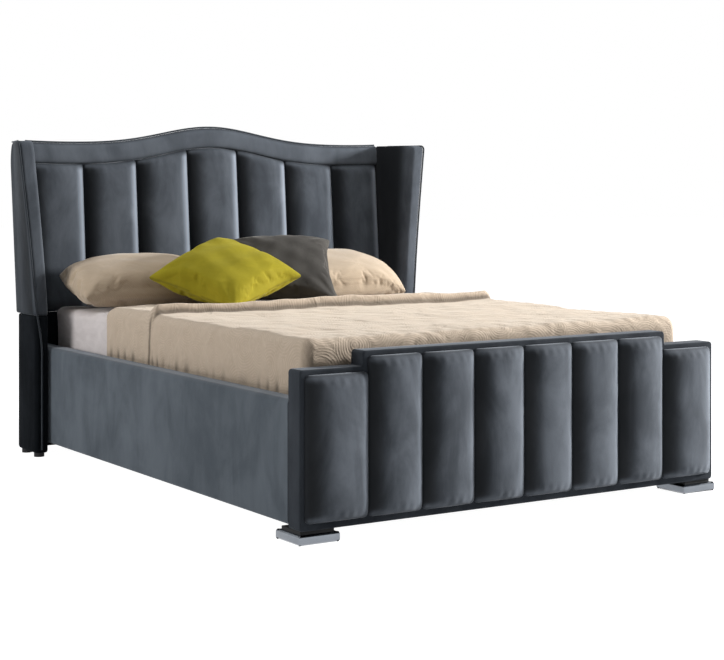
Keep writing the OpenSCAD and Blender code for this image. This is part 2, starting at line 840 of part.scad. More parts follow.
// Gas strut, drawn along its own axis from the lower stud to the upper one
strut_low = [strut_low_u, strut_low_z];
strut_up = [strut_up_u, strut_up_z];
strut_span = strut_up - strut_low;
strut_l = norm(strut_span);
strut_angle = atan2(strut_span[1], -strut_span[0]);
strut_wall = 2;
mouth = strut_l - 130;
cylinder_low = 14;
neck_r = 4.5;
chamber_low = 26;
guide_t = 6;
piston_at = 130;
piston_l = 14;
eye_r = 10;
upper_eye_r = stud_r + strut_eye_clear + 4;

module along_strut() {
    translate([strut_x, at_u(strut_low_u), strut_low_z]) rotate([strut_angle, 0, 0]) rotate([-90, 0, 0]) children();
}

module strut_cylinders() {
    color([0.12, 0.12, 0.13]) both_sides() difference() {
        union() {
            along_strut() {
                translate([0, 0, cylinder_low]) cylinder(h = mouth - cylinder_low, r = cylinder_r, $fn = 48);
                cylinder(h = cylinder_low + 4, r = neck_r, $fn = 32);
            }
            bar_x(strut_x - eye_half, strut_x + eye_half, strut_low_u, strut_low_z, eye_r);
        }
        along_strut() {
            translate([0, 0, chamber_low])
                cylinder(h = mouth - guide_t - chamber_low, r = cylinder_r - strut_wall, $fn = 48);
            translate([0, 0, mouth - 2 * guide_t]) cylinder(h = 4 * guide_t, r = rod_r + run_clear, $fn = 48);
        }
        bar_x(strut_x - eye_half - 1, strut_x + eye_half + 1, strut_low_u, strut_low_z, stud_r + run_clear);
    }
}

module strut_rods() {
    color("silver") both_sides() difference() {
        union() {
            along_strut() {
                translate([0, 0, piston_at])
                    cylinder(h = piston_l, r = cylinder_r - strut_wall - run_clear, $fn = 48);
                translate([0, 0, piston_at]) cylinder(h = strut_l - piston_at, r = rod_r, $fn = 48);
            }
            bar_x(strut_x - eye_half, strut_x + eye_half, strut_up_u, strut_up_z, upper_eye_r);
        }
        bar_x(strut_x - eye_half - 1, strut_x + eye_half + 1, strut_up_u, strut_up_z, stud_r + strut_eye_clear);
    }
}

// Bracket under each platform side bar, with the arms' upper pins and the strut's upper stud
bracket_u0 = 78;
bracket_u1 = 236;
bracket_z0 = 214;
bracket_z1 = 327;
flange_u0 = 118;
flange_t = 4;
platform_bolt_us = [140, 212];
platform_bolt_r = 4;
platform_bolt_in = 14;
platform_head_r = 7;
platform_head_h = 5;

// Shanks of the bolts that hold the brackets under the side bars, each grown by grow
module platform_bolt_shanks(grow) {
    for (u = platform_bolt_us)
        translate([bar_out - bar_w / 2, at_u(u), deck_z - flange_t - grow])
            cylinder(h = flange_t + platform_bolt_in + grow, r = platform_bolt_r + grow, $fn = 32);
}

module platform_bolts() {
    color("silver") both_sides() {
        platform_bolt_shanks(0);
        for (u = platform_bolt_us)
            translate([bar_out - bar_w / 2, at_u(u), deck_z - flange_t - platform_head_h])
                cylinder(h = platform_head_h, r = platform_head_r, $fn = 32);
    }
}

module lift_brackets() {
    color(steel) both_sides() difference() {
        union() {
            plate_x(bracket_in, bracket_out)
                translate([at_u(bracket_u1), bracket_z0])
                    round_rect(bracket_u1 - bracket_u0, bracket_z1 - bracket_z0, plate_corner_r);
            translate([bar_out - bar_w, at_u(bracket_u1), deck_z - flange_t])
                cube([bracket_in - bar_out + bar_w, bracket_u1 - flange_u0, flange_t]);
            bar_x(bracket_out, front_out + layer_gap / 2, front_up_u, front_up_z, pin_r);
            bar_x(front_out + layer_gap / 2, front_out + layer_gap / 2 + head_h,
                front_up_u, front_up_z, pin_r + eye_lip);
            bar_x(rear_in - layer_gap / 2, bracket_in, rear_up_u, rear_up_z, pin_r);
            bar_x(rear_in - layer_gap / 2 - head_h, rear_in - layer_gap / 2,
                rear_up_u, rear_up_z, pin_r + rear_eye_clear + eye_lip);
            bar_x(strut_x + eye_half + layer_gap, bracket_in, strut_up_u, strut_up_z, stud_r + stud_lip);
            bar_x(strut_x - eye_half - layer_gap, bracket_in, strut_up_u, strut_up_z, stud_r);
            bar_x(strut_x - eye_half - layer_gap - head_h, strut_x - eye_half - layer_gap,
                strut_up_u, strut_up_z, stud_r + strut_eye_clear + eye_lip);
        }
        platform_bolt_shanks(bolt_clear);
    }
}

// Platform frame of steel tube: side bars, cross bars between them, and a centre bar
deck_head_gap = 20;
deck_foot_gap = 51;
deck_l = inner_l - deck_head_gap - deck_foot_gap;
deck_front = foot_in + deck_foot_gap;
deck_back = head_face - deck_head_gap;
deck_top = deck_z + bar_h;

// Square tube along Y from y0 to y1, centred on x
module tube_y(x, y0, y1) {
    translate([x - bar_w / 2, y0, deck_z]) difference() {
        cube([bar_w, y1 - y0, bar_h]);
        translate([bar_wall, -1, bar_wall]) cube([bar_w - 2 * bar_wall, y1 - y0 + 2, bar_h - 2 * bar_wall]);
    }
}

// Square tube along X from x0 to x1, starting at y
module tube_x(x0, x1, y) {
    translate([x0, y, deck_z]) difference() {
        cube([x1 - x0, bar_w, bar_h]);
        translate([-1, bar_wall, bar_wall]) cube([x1 - x0 + 2, bar_w - 2 * bar_wall, bar_h - 2 * bar_wall]);
    }
}

module platform_side_bars() {
    color(steel) both_sides() difference() {
        tube_y(bar_out - bar_w / 2, deck_front, deck_back);
        platform_bolt_shanks(bolt_clear);
    }
}

cross_ys = [deck_front, deck_front + deck_l / 3, deck_front + 2 * deck_l / 3, deck_back - bar_w];
module platform_cross_bars() {
    color(steel) {
        for (y = [cross_ys[0], cross_ys[3]]) tube_x(-bar_out + bar_w, bar_out - bar_w, y);
        both_sides() for (y = [cross_ys[1], cross_ys[2]]) tube_x(bar_w / 2, bar_out - bar_w, y);
    }
}

module platform_centre_bar() {
    color(steel) tube_y(0, cross_ys[0] + bar_w, cross_ys[3]);
}

// Sprung slats in two rows, each held in a cap at both ends
cap_l = 38;
cap_wall = 3;
cap_floor = 4;
slat_z = deck_top + cap_floor;
slat_inner = 8;
slat_outer = bar_out - 6;
slat_margin = 20;
slat_pitch = (deck_l - slat_w - 2 * slat_margin) / (slat_count - 1);
function slat_y(i) = deck_front + slat_margin + i * slat_pitch;

module slats() {
    color(timber) both_sides() for (i = [0 : slat_count - 1])
        translate([slat_inner, slat_y(i), slat_z]) cube([slat_outer - slat_inner, slat_w, slat_t]);
}

module slat_caps() {
    color("black") both_sides() for (i = [0 : slat_count - 1]) difference() {
        for (x = [slat_inner - cap_wall, slat_outer + cap_wall - cap_l])
            translate([x, slat_y(i) - cap_wall, deck_top])
                cube([cap_l, slat_w + 2 * cap_wall, cap_floor + slat_t]);
        translate([slat_inner, slat_y(i), slat_z]) cube([slat_outer - slat_inner, slat_w, slat_t + 1]);
    }
}

// Bent steel rod that keeps the mattress from sliding off the raised platform
retainer_r = 5;
retainer_half = 260;
retainer_top = 420;
retainer_y = foot_in + 20;
module retainer_ball(x, z) {
    translate([x, retainer_y, z]) sphere(r = retainer_r, $fn = 24);
}

module mattress_retainer() {
    mid = deck_z + bar_h / 2;
    color(steel) union() {
        for (x = [-retainer_half, retainer_half]) {
            translate([x, retainer_y, mid]) rotate([-90, 0, 0])
                cylinder(h = deck_front - retainer_y, r = retainer_r, $fn = 24);
            translate([x, retainer_y, mid]) cylinder(h = retainer_top - mid, r = retainer_r, $fn = 24);
            retainer_ball(x, mid);
            retainer_ball(x, retainer_top);
        }
        translate([-retainer_half, retainer_y, retainer_top]) rotate([0, 90, 0])
            cylinder(h = 2 * retainer_half, r = retainer_r, $fn = 24);
    }
}

// Doubled webbing at the middle of the foot end, for pulling the platform up
web_w = 38;
web_t = 3;
web_low = deck_z + 6;
web_top = retainer_top + 2 * retainer_r;
web_y = retainer_y + retainer_r + 0.4;
module pull_strap() {
    color([0.12, 0.12, 0.13]) union() {
        translate([-web_w / 2, web_y, web_low]) cube([web_w, web_t, web_top - web_low]);
        translate([-web_w / 2, web_y, web_low]) cube([web_w, deck_front - web_y, web_t]);
    }
}

// Mattress: crowned faces, sides drawn in at half height, rounded corners
mattress_z0 = slat_z + slat_t;
mattress_top = mattress_z0 + mattress_t;
mattress_foot = foot_in + foot_clear;
mattress_corner = 45;
function mattress_ring(z, inset) =
    let (
        r = mattress_corner,
        hx = mattress_w / 2 - inset,
        y0 = mattress_foot + inset,
        y1 = head_face - head_clear - inset,
        turns = [0, 22.5, 45, 67.5, 90]
    )
    [
        for (a = turns) [hx - r + r * cos(a), y1 - r + r * sin(a), z],
        for (a = turns) [-hx + r - r * sin(a), y1 - r + r * cos(a), z],
        for (a = turns) [-hx + r - r * cos(a), y0 + r - r * sin(a), z],
        for (a = turns) [hx - r + r * sin(a), y0 + r - r * cos(a), z]
    ];

module mattress() {
    edge = 28;
    shoulder = 12;
    draw_in = 6;
    zs = [0, 6, edge, mattress_t / 2, mattress_t - edge, mattress_t - 6, mattress_t];
    insets = [edge, shoulder, 0, draw_in, 0, shoulder, edge];
    color("white") stack([for (i = [0 : len(zs) - 1]) mattress_ring(mattress_z0 + zs[i], insets[i])]);
}

// Bedspread: one quilted sheet over the mattress that hangs between it and the rails.
// Its grid runs from hem to hem across and from the foot's hem to the fold along.
spread_r = 34;
spread_arc = spread_r * PI / 2;
spread_top = mattress_top + soft_gap + spread_t;
spread_drop = spread_arc + (spread_top - spread_r - spread_hem);
spread_half = mattress_w / 2 + soft_gap + spread_side_t - spread_r;
spread_foot = mattress_foot - soft_gap - spread_side_t + spread_r;
spread_fold = mattress_foot + spread_l;
over_steps = [1, 0.62, 0.36, 0.2, 0.1];
hem_y = spread_fold - flap_l;
hem_steps = [-34, -16, 0, 16, 36, 60];
spread_us = concat(
    [for (s = over_steps) -s * spread_drop],
    [for (i = [0 : 12]) 2 * spread_half * i / 12],
    [for (i = [4 : -1 : 0]) 2 * spread_half + over_steps[i] * spread_drop]
);
spread_vs = concat(
    [for (s = over_steps) s * spread_drop],
    [for (i = [0 : 5]) -(hem_y - 60 - spread_foot) * i / 5],
    [for (d = hem_steps) -(hem_y + d - spread_foot)],
    [for (i = [1 : 3]) -(hem_y + 80 + (flap_l - 110) * i / 3 - spread_foot)],
    [-(spread_fold - spread_foot)]
);

// Main folds: slow waves on top and shallow pleats near the foot edge
function spread_wave(x, y) =
    spread_waves * sin(x * 0.9 + 40) * sin(y * 0.8)
    + 3 * exp(-pow((y - spread_foot) / 140, 2)) * (1 + cos(x * 2.4)) / 2;
function fold_rise(y) =
    fold_h * exp(-pow((y - hem_y) / 28, 2))
    + (y > hem_y ? flap_t * (1 - exp(-pow((y - hem_y) / 28, 2))) : 0);

// Point of the sheet: depth is its inset under the outer face
function spread_point(u, v, depth) =
    let (
        a = u < 0 ? -u : u > 2 * spread_half ? u - 2 * spread_half : 0,
        b = max(0, v),
        p = max(a, b),
        x0 = max(-spread_half, min(spread_half, u - spread_half)),
        y0 = spread_foot - min(0, v),
        side = u < spread_half ? -1 : 1,
        turn = p == 0 ? 0 : a >= b ? 45 * b / a : 90 - 45 * a / b,
        r = spread_r - depth[0],
        h = p < spread_arc ? r * sin(p / spread_r * 180 / PI) : r,
        z = p < spread_arc
            ? spread_top - spread_r + (spread_r - depth[1]) * cos(p / spread_r * 180 / PI)
            : spread_top - spread_r - (p - spread_arc),
        rise = depth[1] == 0 ? (p == 0 ? spread_wave(x0, y0) + fold_rise(y0) : 0) : 0
    )
    [x0 + side * h * cos(turn), y0 - h * sin(turn), z + rise];

module bedspread() {
    outer = [for (u = spread_us) [for (v = spread_vs) spread_point(u, v, [0, 0])]];
    inner = [for (u = spread_us) [for (v = spread_vs) spread_point(u, v, [spread_side_t, spread_t])]];
    color(sand) skin(outer, inner);
}

// A point of a pillow, moved to its place: x, distance from the lower headboard, height, turn in
// plan and lean back towards the headboard
function at_place(p, place) =
    let (
        y = p[1] * cos(place[4]) - p[2] * sin(place[4]),
        z = p[1] * sin(place[4]) + p[2] * cos(place[4])
    )
    [
        place[0] + p[0] * cos(place[3]) + y * sin(place[3]),
        at_u(place[1]) - p[0] * sin(place[3]) + y * cos(place[3]),
        place[2] + z
    ];

// The same point where the pillow's weight flattens it on what lies below, at height base
settle = 10;
function settled(p, base) = [p[0], p[1], base + settle * ln(1 + exp((p[2] - base) / settle))];

// Pillow w by d, with seamed edges that draw in between its corners. It stands up and down from its
// seam, plump rounds its corners off, and spin turns it in its own plane before it is laid down.
pillow_steps = [-1, -0.9, -0.72, -0.45, -0.15, 0.15, 0.45, 0.72, 0.9, 1];
pillow_rim = 2;
pillow_full = 2.6;
module pillow(w, d, up, down, pull, plump, spin, place, base) {
    side = function (high)
        [
            for (a = pillow_steps)
                [
                    for (b = pillow_steps)
                        let (
                            fill = pow((1 - pow(abs(a), pillow_full)) * (1 - pow(abs(b), pillow_full)), 0.6),
                            x = a * w / 2 * (1 - pull * (1 - b * b)) * sqrt(1 - plump * b * b / 2),
                            y = b * d / 2 * (1 - pull * (1 - a * a)) * sqrt(1 - plump * a * a / 2),
                            rim = sign(high) * pillow_rim,
                            flat = [x * cos(spin) - y * sin(spin), x * sin(spin) + y * cos(spin)],
                            laid = at_place([flat[0], flat[1], rim + (high - rim) * fill], place)
                        )
                        settled(laid, base) + [0, 0, rim]
                ]
        ];
    skin(side(up), side(-down));
}

// Places on the bed, and the height at which each kind rests
pillow_down = 0.27;
cushion_down = 0.36;
pillow_up = 82;
cushion_up = 130;
spread_waves = 2.2;
pillow_rest = mattress_top + soft_gap + pillow_rim;
cushion_rest = spread_top + flap_t + spread_waves + soft_gap + pillow_rim;
left_pillow_place = [-474, 250, mattress_top + pillow_up + 4, 6, 11];
right_pillow_place = [350, 300, mattress_top + pillow_up, 2, 16];
square_place = [33, 488, mattress_top + cushion_up, 24, 36];
diamond_place = [-272, 572, mattress_top + cushion_up, 21, 26];

module pillows() {
    color(sand) for (place = [left_pillow_place, right_pillow_place])
        pillow(
            pillow_w, pillow_d, pillow_t * (1 - pillow_down), pillow_t * pillow_down,
            0.03, 0.35, 0, place, pillow_rest
        );
}

module scatter_cushion(spin, place) {
    pillow(
        cushion_w, cushion_w, cushion_t * (1 - cushion_down), cushion_t * cushion_down,
        0.05, 0, spin, place, cushion_rest
    );
}

module cushion_square() {
    color([0.30, 0.29, 0.28]) scatter_cushion(0, square_place);
}

module cushion_diamond() {
    color([0.60, 0.57, 0.12]) scatter_cushion(45, diamond_place);
}

footboard();
footboard_pad(1);  // footboard_pad_1
footboard_pad(2);  // footboard_pad_2
footboard_pad(3);  // footboard_pad_3
footboard_pad(4);  // footboard_pad_4
footboard_pad(5);  // footboard_pad_5
footboard_pad(6);  // footboard_pad_6
footboard_pad(7);  // footboard_pad_7
footboard_pad(8);  // footboard_pad_8
front_feet();
front_foot_collars();
side_rail_left();
side_rail_right();
corner_brackets();
corner_bolts();
headboard_base();
headboard_panel();
headboard_pad(1);  // headboard_pad_1
headboard_pad(2);  // headboard_pad_2
headboard_pad(3);  // headboard_pad_3
headboard_pad(4);  // headboard_pad_4
headboard_pad(5);  // headboard_pad_5
headboard_pad(6);  // headboard_pad_6
headboard_pad(7);  // headboard_pad_7
headboard_border();
headboard_piping();
wing_left();
wing_right();
wing_base_left();
wing_base_right();
wing_piping();
headboard_straps();
rear_glides();
floor_battens();
storage_floor();
centre_floor_rail();
centre_rail_feet();
platform_rests();
lift_base_left();
lift_base_right();
front_arm_left();
front_arm_right();
rear_arm_left();
rear_arm_right();
strut_cylinders();
strut_rods();
lift_brackets();
platform_bolts();
platform_side_bars();
platform_cross_bars();
platform_centre_bar();
slats();
slat_caps();
mattress_retainer();
pull_strap();
mattress();
bedspread();
pillows();
cushion_diamond();
cushion_square();
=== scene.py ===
"""A velvet gas lift storage bed, made up with bedding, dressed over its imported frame.

Metres, Z up, +Y towards the headboard, X to the right seen from the foot.
"""

from __future__ import annotations

import json
import logging
import math
from dataclasses import dataclass
from enum import Enum
from functools import cache
from typing import Any, Callable, Sequence

import bpy
import numpy as np
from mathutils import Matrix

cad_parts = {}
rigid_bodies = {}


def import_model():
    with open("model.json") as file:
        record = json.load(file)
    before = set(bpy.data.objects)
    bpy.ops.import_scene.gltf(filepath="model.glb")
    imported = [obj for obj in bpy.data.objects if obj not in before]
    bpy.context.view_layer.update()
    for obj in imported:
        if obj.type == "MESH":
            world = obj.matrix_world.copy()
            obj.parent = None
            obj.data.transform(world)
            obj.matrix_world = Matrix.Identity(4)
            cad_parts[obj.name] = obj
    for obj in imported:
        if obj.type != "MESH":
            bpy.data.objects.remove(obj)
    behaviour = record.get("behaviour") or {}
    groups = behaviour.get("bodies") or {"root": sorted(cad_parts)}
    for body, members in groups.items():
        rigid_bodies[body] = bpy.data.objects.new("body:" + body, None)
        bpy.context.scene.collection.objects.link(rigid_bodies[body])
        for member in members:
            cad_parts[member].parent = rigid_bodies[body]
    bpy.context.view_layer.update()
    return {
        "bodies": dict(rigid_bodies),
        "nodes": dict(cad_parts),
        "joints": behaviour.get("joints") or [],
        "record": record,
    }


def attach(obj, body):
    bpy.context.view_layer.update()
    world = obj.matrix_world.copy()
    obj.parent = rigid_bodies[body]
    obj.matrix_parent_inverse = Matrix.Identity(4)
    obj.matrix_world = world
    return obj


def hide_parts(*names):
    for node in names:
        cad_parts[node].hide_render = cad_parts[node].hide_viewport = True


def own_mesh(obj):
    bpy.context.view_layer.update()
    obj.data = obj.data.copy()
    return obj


Array = np.ndarray
Triple = tuple[float, float, float]
Colour = Triple
Curve = Callable[[Array], Array]

FULL = 2.0 * math.pi
"""A full turn, in radians."""

QUARTER = math.pi / 2.0
"""A quarter turn, in radians."""

PHASE = 6.28
"""Upper limit of a random phase: nearly a full turn."""

CLEAR = 0.0003
"""Gap that keeps a cover clear of what it lies against, in metres."""

FRAME: dict[str, Any] = {}
"""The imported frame, once main has loaded it."""

log = logging.getLogger("bed")


# Layout


@dataclass(frozen=True)
class Layout:
    """Main sizes of the bed, as its frame has them."""

    rail_half: float = 0.830
    foot_face: float = -1.0713557
    foot_in: float = -1.0013557
    head_face: float = 1.0046443
    split_z: float = 0.550
    rake: float = math.radians(4.5)
    panel_setback: float = 0.020
    panel_t: float = 0.022
    edge_z: float = 1.222
    crest_h: float = 0.074
    crest_w: float = 0.315
    end_rise: float = 0.006
    border_h: float = 0.084
    mattress_half: float = 0.750
    mattress_z0: float = 0.346
    mattress_top: float = 0.570
    mattress_foot: float = -0.9723557
    mattress_head: float = 0.9926443

    def edge_at(self, x: Array) -> Array:
        """Height of the headboard's top edge at x: a level line, a bell-shaped crest and raised ends."""
        crest = self.crest_h * bell(x, self.crest_w)
        return self.edge_z + crest + self.end_rise * (x / self.rail_half) ** 6

    def border_at(self, x: Array) -> Array:
        """Height of the lower edge of the crest's padded border at x."""
        return self.edge_at(x) - self.border_h

    def panel_y(self, z: Array) -> Array:
        """Front plane of the raked upper board at height z."""
        return self.head_face + self.panel_setback + np.maximum(0.0, z - self.split_z) * math.tan(self.rake)

    def panel_back(self, z: Array) -> Array:
        """Back plane of the raked upper board at height z."""
        return self.panel_y(z) + self.panel_t / math.cos(self.rake)


BED = Layout()


# Meshes


def spread(count: int, crowd: float = 1.0) -> Array:
    """Numbers from -1 to 1, drawn towards both ends.

    Args:
        count: how many numbers.
        crowd: 0 for even steps, 1 for steps that follow a sine.

    Returns:
        The numbers, rising.
    """
    even = np.linspace(-1.0, 1.0, count)
    return (1.0 - crowd) * even + crowd * np.sin(even * QUARTER)


def smooth(value: Array, low: float, high: float) -> Array:
    """Smooth step from 0 at low to 1 at high: 3 t squared minus 2 t cubed."""
    t = np.clip((value - low) / (high - low), 0.0, 1.0)
    return t * t * (3.0 - 2.0 * t)


def bell(offset: Array, width: float) -> Array:
    """Bell curve: e to the power of minus the square of offset over width."""
    return np.exp(-((offset / width) ** 2))


def wave(at: Array, length: float, phase: Any = 0.0) -> Array:
    """Sine wave of a length in metres."""
    return np.sin(FULL * at / length + phase)


def grid(first: Array, second: Array) -> list[Array]:
    """Coordinates of a grid: the first row of numbers runs along axis 0, the second along axis 1."""
    return np.meshgrid(first, second, indexing="ij")


def level(height: float) -> Curve:
    """A curve that stays at one height.

    Args:
        height: the height.

    Returns:
        The curve.
    """

    def flat(at: Array) -> Array:
        """The height, for each place."""
        return np.full_like(at, height)

    return flat


def ripples(x: Array, y: Array, seed: int, size: float, count: int = 7) -> Array:
    """Gentle uneven waves: a sum of plane sine waves in seeded directions, about 1 high.

    Args:
        x: first coordinate, in metres.
        y: second coordinate, in metres.
        seed: seed of the directions and phases.
        size: mean length of a wave, in metres.
        count: number of waves.

    Returns:
        The height at each point.
    """
    chance = np.random.default_rng(seed)
    angle = chance.uniform(0.0, math.pi, count)[:, None, None]
    length = (size * chance.uniform(0.6, 1.7, count))[:, None, None]
    phase = chance.uniform(0.0, FULL, count)[:, None, None]
    waves = wave(x[None] * np.cos(angle) + y[None] * np.sin(angle), length, phase)
    return waves.sum(0) / math.sqrt(count)


def linked(name: str, data: bpy.types.ID) -> bpy.types.Object:
    """Puts a mesh, a lamp or a camera into the scene as an object."""
    made = bpy.data.objects.new(name, data)
    bpy.context.scene.collection.objects.link(made)
    return made


class Solid:
    """A closed mesh held as arrays, with values on its points."""

    def __init__(self, points: Array, quads: Array, caps: Sequence[Array] = ()) -> None:
        """Keeps the arrays, and turns all faces outwards by the sign of the volume.

        Args:
            points: n by 3 points.
            quads: m by 4 point numbers.
            caps: flat faces with any count of points.
        """
        self.points = np.asarray(points, float)
        self.quads = np.asarray(quads, int)
        self.caps = [np.asarray(cap, int) for cap in caps]
        self.values: dict[str, Array] = {}
        self.uv: Array | None = None
        if self.volume() < 0.0:
            self.quads = self.quads[:, ::-1]
            self.caps = [cap[::-1] for cap in self.caps]

    def volume(self) -> float:
        """Signed volume: the sum of the tetrahedra from the origin to each triangle.

        Returns:
            The volume, positive where the faces look outwards.
        """
        p = self.points
        fans = [self.quads[:, [0, 1, 2]], self.quads[:, [0, 2, 3]]]
        for cap in self.caps:
            fans.append(np.stack([np.full(len(cap) - 2, cap[0]), cap[1:-1], cap[2:]], axis=1))
        tri = np.concatenate(fans)
        return float(np.einsum("ij,ij->i", p[tri[:, 0]], np.cross(p[tri[:, 1]], p[tri[:, 2]])).sum() / 6.0)

    @classmethod
    def skin(cls, outer: Array, inner: Array) -> "Solid":
        """Closed solid between two grids of points, with walls round the rim.

        Args:
            outer: outer face, nu by nv by 3.
            inner: inner face, of the same shape.

        Returns:
            The solid, its outer points first.
        """
        nu, nv = outer.shape[:2]
        n = nu * nv
        idx = np.arange(n).reshape(nu, nv)
        front = np.stack([idx[:-1, :-1], idx[:-1, 1:], idx[1:, 1:], idx[1:, :-1]], axis=-1).reshape(-1, 4)
        rim = np.concatenate([idx[:-1, 0], idx[-1, :-1], idx[:0:-1, -1], idx[0, :0:-1]])
        after = np.roll(rim, -1)
        walls = np.stack([rim, after, after + n, rim + n], axis=-1)
        points = np.concatenate([outer.reshape(-1, 3), inner.reshape(-1, 3)])
        return cls(points, np.concatenate([front, front[:, ::-1] + n, walls]))

    @classmethod
    def stack(cls, rings: Array) -> "Solid":
        """Closed solid through rings of points, with a flat cap at each end.

        Args:
            rings: m rings of n points, m by n by 3.

        Returns:
            The solid.
        """
        m, n = rings.shape[:2]
        idx = np.arange(m * n).reshape(m, n)
        after = np.roll(idx, -1, axis=1)
        sides = np.stack([idx[:-1], idx[1:], after[1:], after[:-1]], axis=-1).reshape(-1, 4)
        return cls(rings.reshape(-1, 3), sides, [idx[0], idx[-1][::-1]])

    @classmethod
    def tube(cls, route: Array, radius: float, axis: Sequence[float], sides: int = 14) -> "Solid":
        """Round tube along a route, its ends drawn in: a circle square to the route at each point.

        Args:
            route: points, n by 3, that stay near one plane.
            radius: radius of the tube.
            axis: a direction square to that plane.
            sides: points round the tube.

        Returns:
            The tube.
        """
        ahead = np.gradient(route, axis=0)
        ahead /= np.linalg.norm(ahead, axis=1, keepdims=True)
        side = np.cross(np.asarray(axis, float), ahead)
        side /= np.linalg.norm(side, axis=1, keepdims=True)
        other = np.cross(ahead, side)
        turn = np.linspace(0.0, FULL, sides, endpoint=False)
        circle = side[:, None] * np.cos(turn)[None, :, None] + other[:, None] * np.sin(turn)[None, :, None]
        rings = route[:, None] + radius * circle
        first = route[0] + 0.55 * radius * circle[0] - 0.4 * radius * ahead[0]
        last = route[-1] + 0.55 * radius * circle[-1] + 0.4 * radius * ahead[-1]
        return cls.stack(np.concatenate([first[None], rings, last[None]]))

    def mirrored(self) -> "Solid":
        """The same solid on the other side of the bed."""
        made = Solid(self.points * np.array([-1.0, 1.0, 1.0]), self.quads, self.caps)
        made.values = dict(self.values)
        return made

    def pair(self) -> "Solid":
        """This solid and its mirror image, without values, in one mesh.

        Returns:
            The pair.
        """
        other, n = self.mirrored(), len(self.points)
        return Solid(
            np.concatenate([self.points, other.points]),
            np.concatenate([self.quads, other.quads + n]),
            [*self.caps, *(cap + n for cap in other.caps)],
        )

    def mark(self, name: str, outer: Array, inner: Array) -> None:
        """Puts a value on the points of a skin's outer and inner face."""
        self.values[name] = np.concatenate([np.ravel(outer), np.ravel(inner)])

    def build(self, name: str, finish: "Finish", crease: float = 40.0) -> bpy.types.Object:
        """Puts the arrays into a Blender object.

        Args:
            name: the object's name.
            finish: its finish.
            crease: edges sharper than this many degrees stay sharp.

        Returns:
            The object, at the origin.
        """
        mesh = bpy.data.meshes.new(name)
        mesh.from_pydata(self.points.tolist(), [], self.quads.tolist() + [cap.tolist() for cap in self.caps])
        mesh.polygons.foreach_set("use_smooth", np.ones(len(mesh.polygons), bool))
        for key, value in self.values.items():
            mesh.attributes.new(key, "FLOAT", "POINT").data.foreach_set("value", value.astype(np.float32))
        if self.uv is not None:
            corner = np.zeros(len(mesh.loops), np.int32)
            mesh.loops.foreach_get("vertex_index", corner)
            layer = mesh.uv_layers.new(name="cloth")
            layer.data.foreach_set("uv", self.uv[corner].astype(np.float32).ravel())
        mesh.set_sharp_from_angle(angle=math.radians(crease))
        mesh.materials.append(material_of(finish))
        log.info("%s: %d points, %d faces", name, len(mesh.vertices), len(mesh.polygons))
        return linked(name, mesh)


def outline(corners: Sequence[tuple[float, float, float]], steps: int = 7) -> tuple[Array, Array]:
    """Closed outline with rounded corners, and its inward normals.

    Args:
        corners: (x, z, radius) of each corner, counter-clockwise.
        steps: points on each rounded corner.

    Returns:
        The points, n by 2, and the unit normals that point into the shape.
    """
    places, normals = [], []
    count = len(corners)
    for k in range(count):
        before, here, after = (np.array(corners[(k + d) % count][:2]) for d in (-1, 0, 1))
        radius = corners[k][2]
        come = (here - before) / np.linalg.norm(here - before)
        leave = (after - here) / np.linalg.norm(after - here)
        left = np.array([-come[1], come[0]])
        turn = come[0] * leave[1] - come[1] * leave[0]
        side = 1.0 if turn > 0.0 else -1.0
        centre = here - come * radius + side * left * radius
        start = math.atan2(-side * left[1], -side * left[0])
        angle = start + side * np.linspace(0.0, QUARTER, steps)
        ray = np.stack([np.cos(angle), np.sin(angle)], axis=1)
        places.append(centre + radius * ray)
        normals.append(-side * ray)
    return np.concatenate(places), np.concatenate(normals)


def rings(points: Array, inward: Array, inset: Array, at: Array) -> Array:
    """Copies of an outline, each drawn in along its normals and moved square to its plane.

    Args:
        points: the outline, n by 2.
        inward: its normals.
        inset: how far each copy is drawn in, m of them.
        at: where each copy lies.

    Returns:
        m rings of n points.
    """
    flat = points[None] + inset[:, None, None] * inward[None]
    return np.concatenate([flat, np.broadcast_to(at[:, None, None], (*flat.shape[:2], 1))], axis=2)


# Shader graph


class Link:
    """A shader socket in an expression: each operator adds one Math node."""

    def __init__(self, graph: "Graph", socket: bpy.types.NodeSocket) -> None:
        """Keeps the graph and the output socket."""
        self.graph, self.socket = graph, socket

    def __add__(self, other: Any) -> "Link":
        """Sum."""
        return self.graph.math("ADD", self, other)

    __radd__ = __add__

    def __sub__(self, other: Any) -> "Link":
        """Difference."""
        return self.graph.math("SUBTRACT", self, other)

    def __rsub__(self, other: Any) -> "Link":
        """Difference the other way round."""
        return self.graph.math("SUBTRACT", other, self)

    def __mul__(self, other: Any) -> "Link":
        """Product."""
        return self.graph.math("MULTIPLY", self, other)

    __rmul__ = __mul__

    def wave(self) -> "Link":
        """Sine of the value."""
        return self.graph.math("SINE", self, 0.0)

    def step(self, low: float, high: float) -> "Link":
        """Smooth step from 0 at low to 1 at high.

        Args:
            low: value that gives 0.
            high: value that gives 1.

        Returns:
            The step.
        """
        made = self.graph.node(
            "ShaderNodeMapRange",
            {"interpolation_type": "SMOOTHSTEP"},
            {"Value": self, "From Min": low, "From Max": high, "To Min": 0.0, "To Max": 1.0},
        )
        return Link(self.graph, made.outputs["Result"])


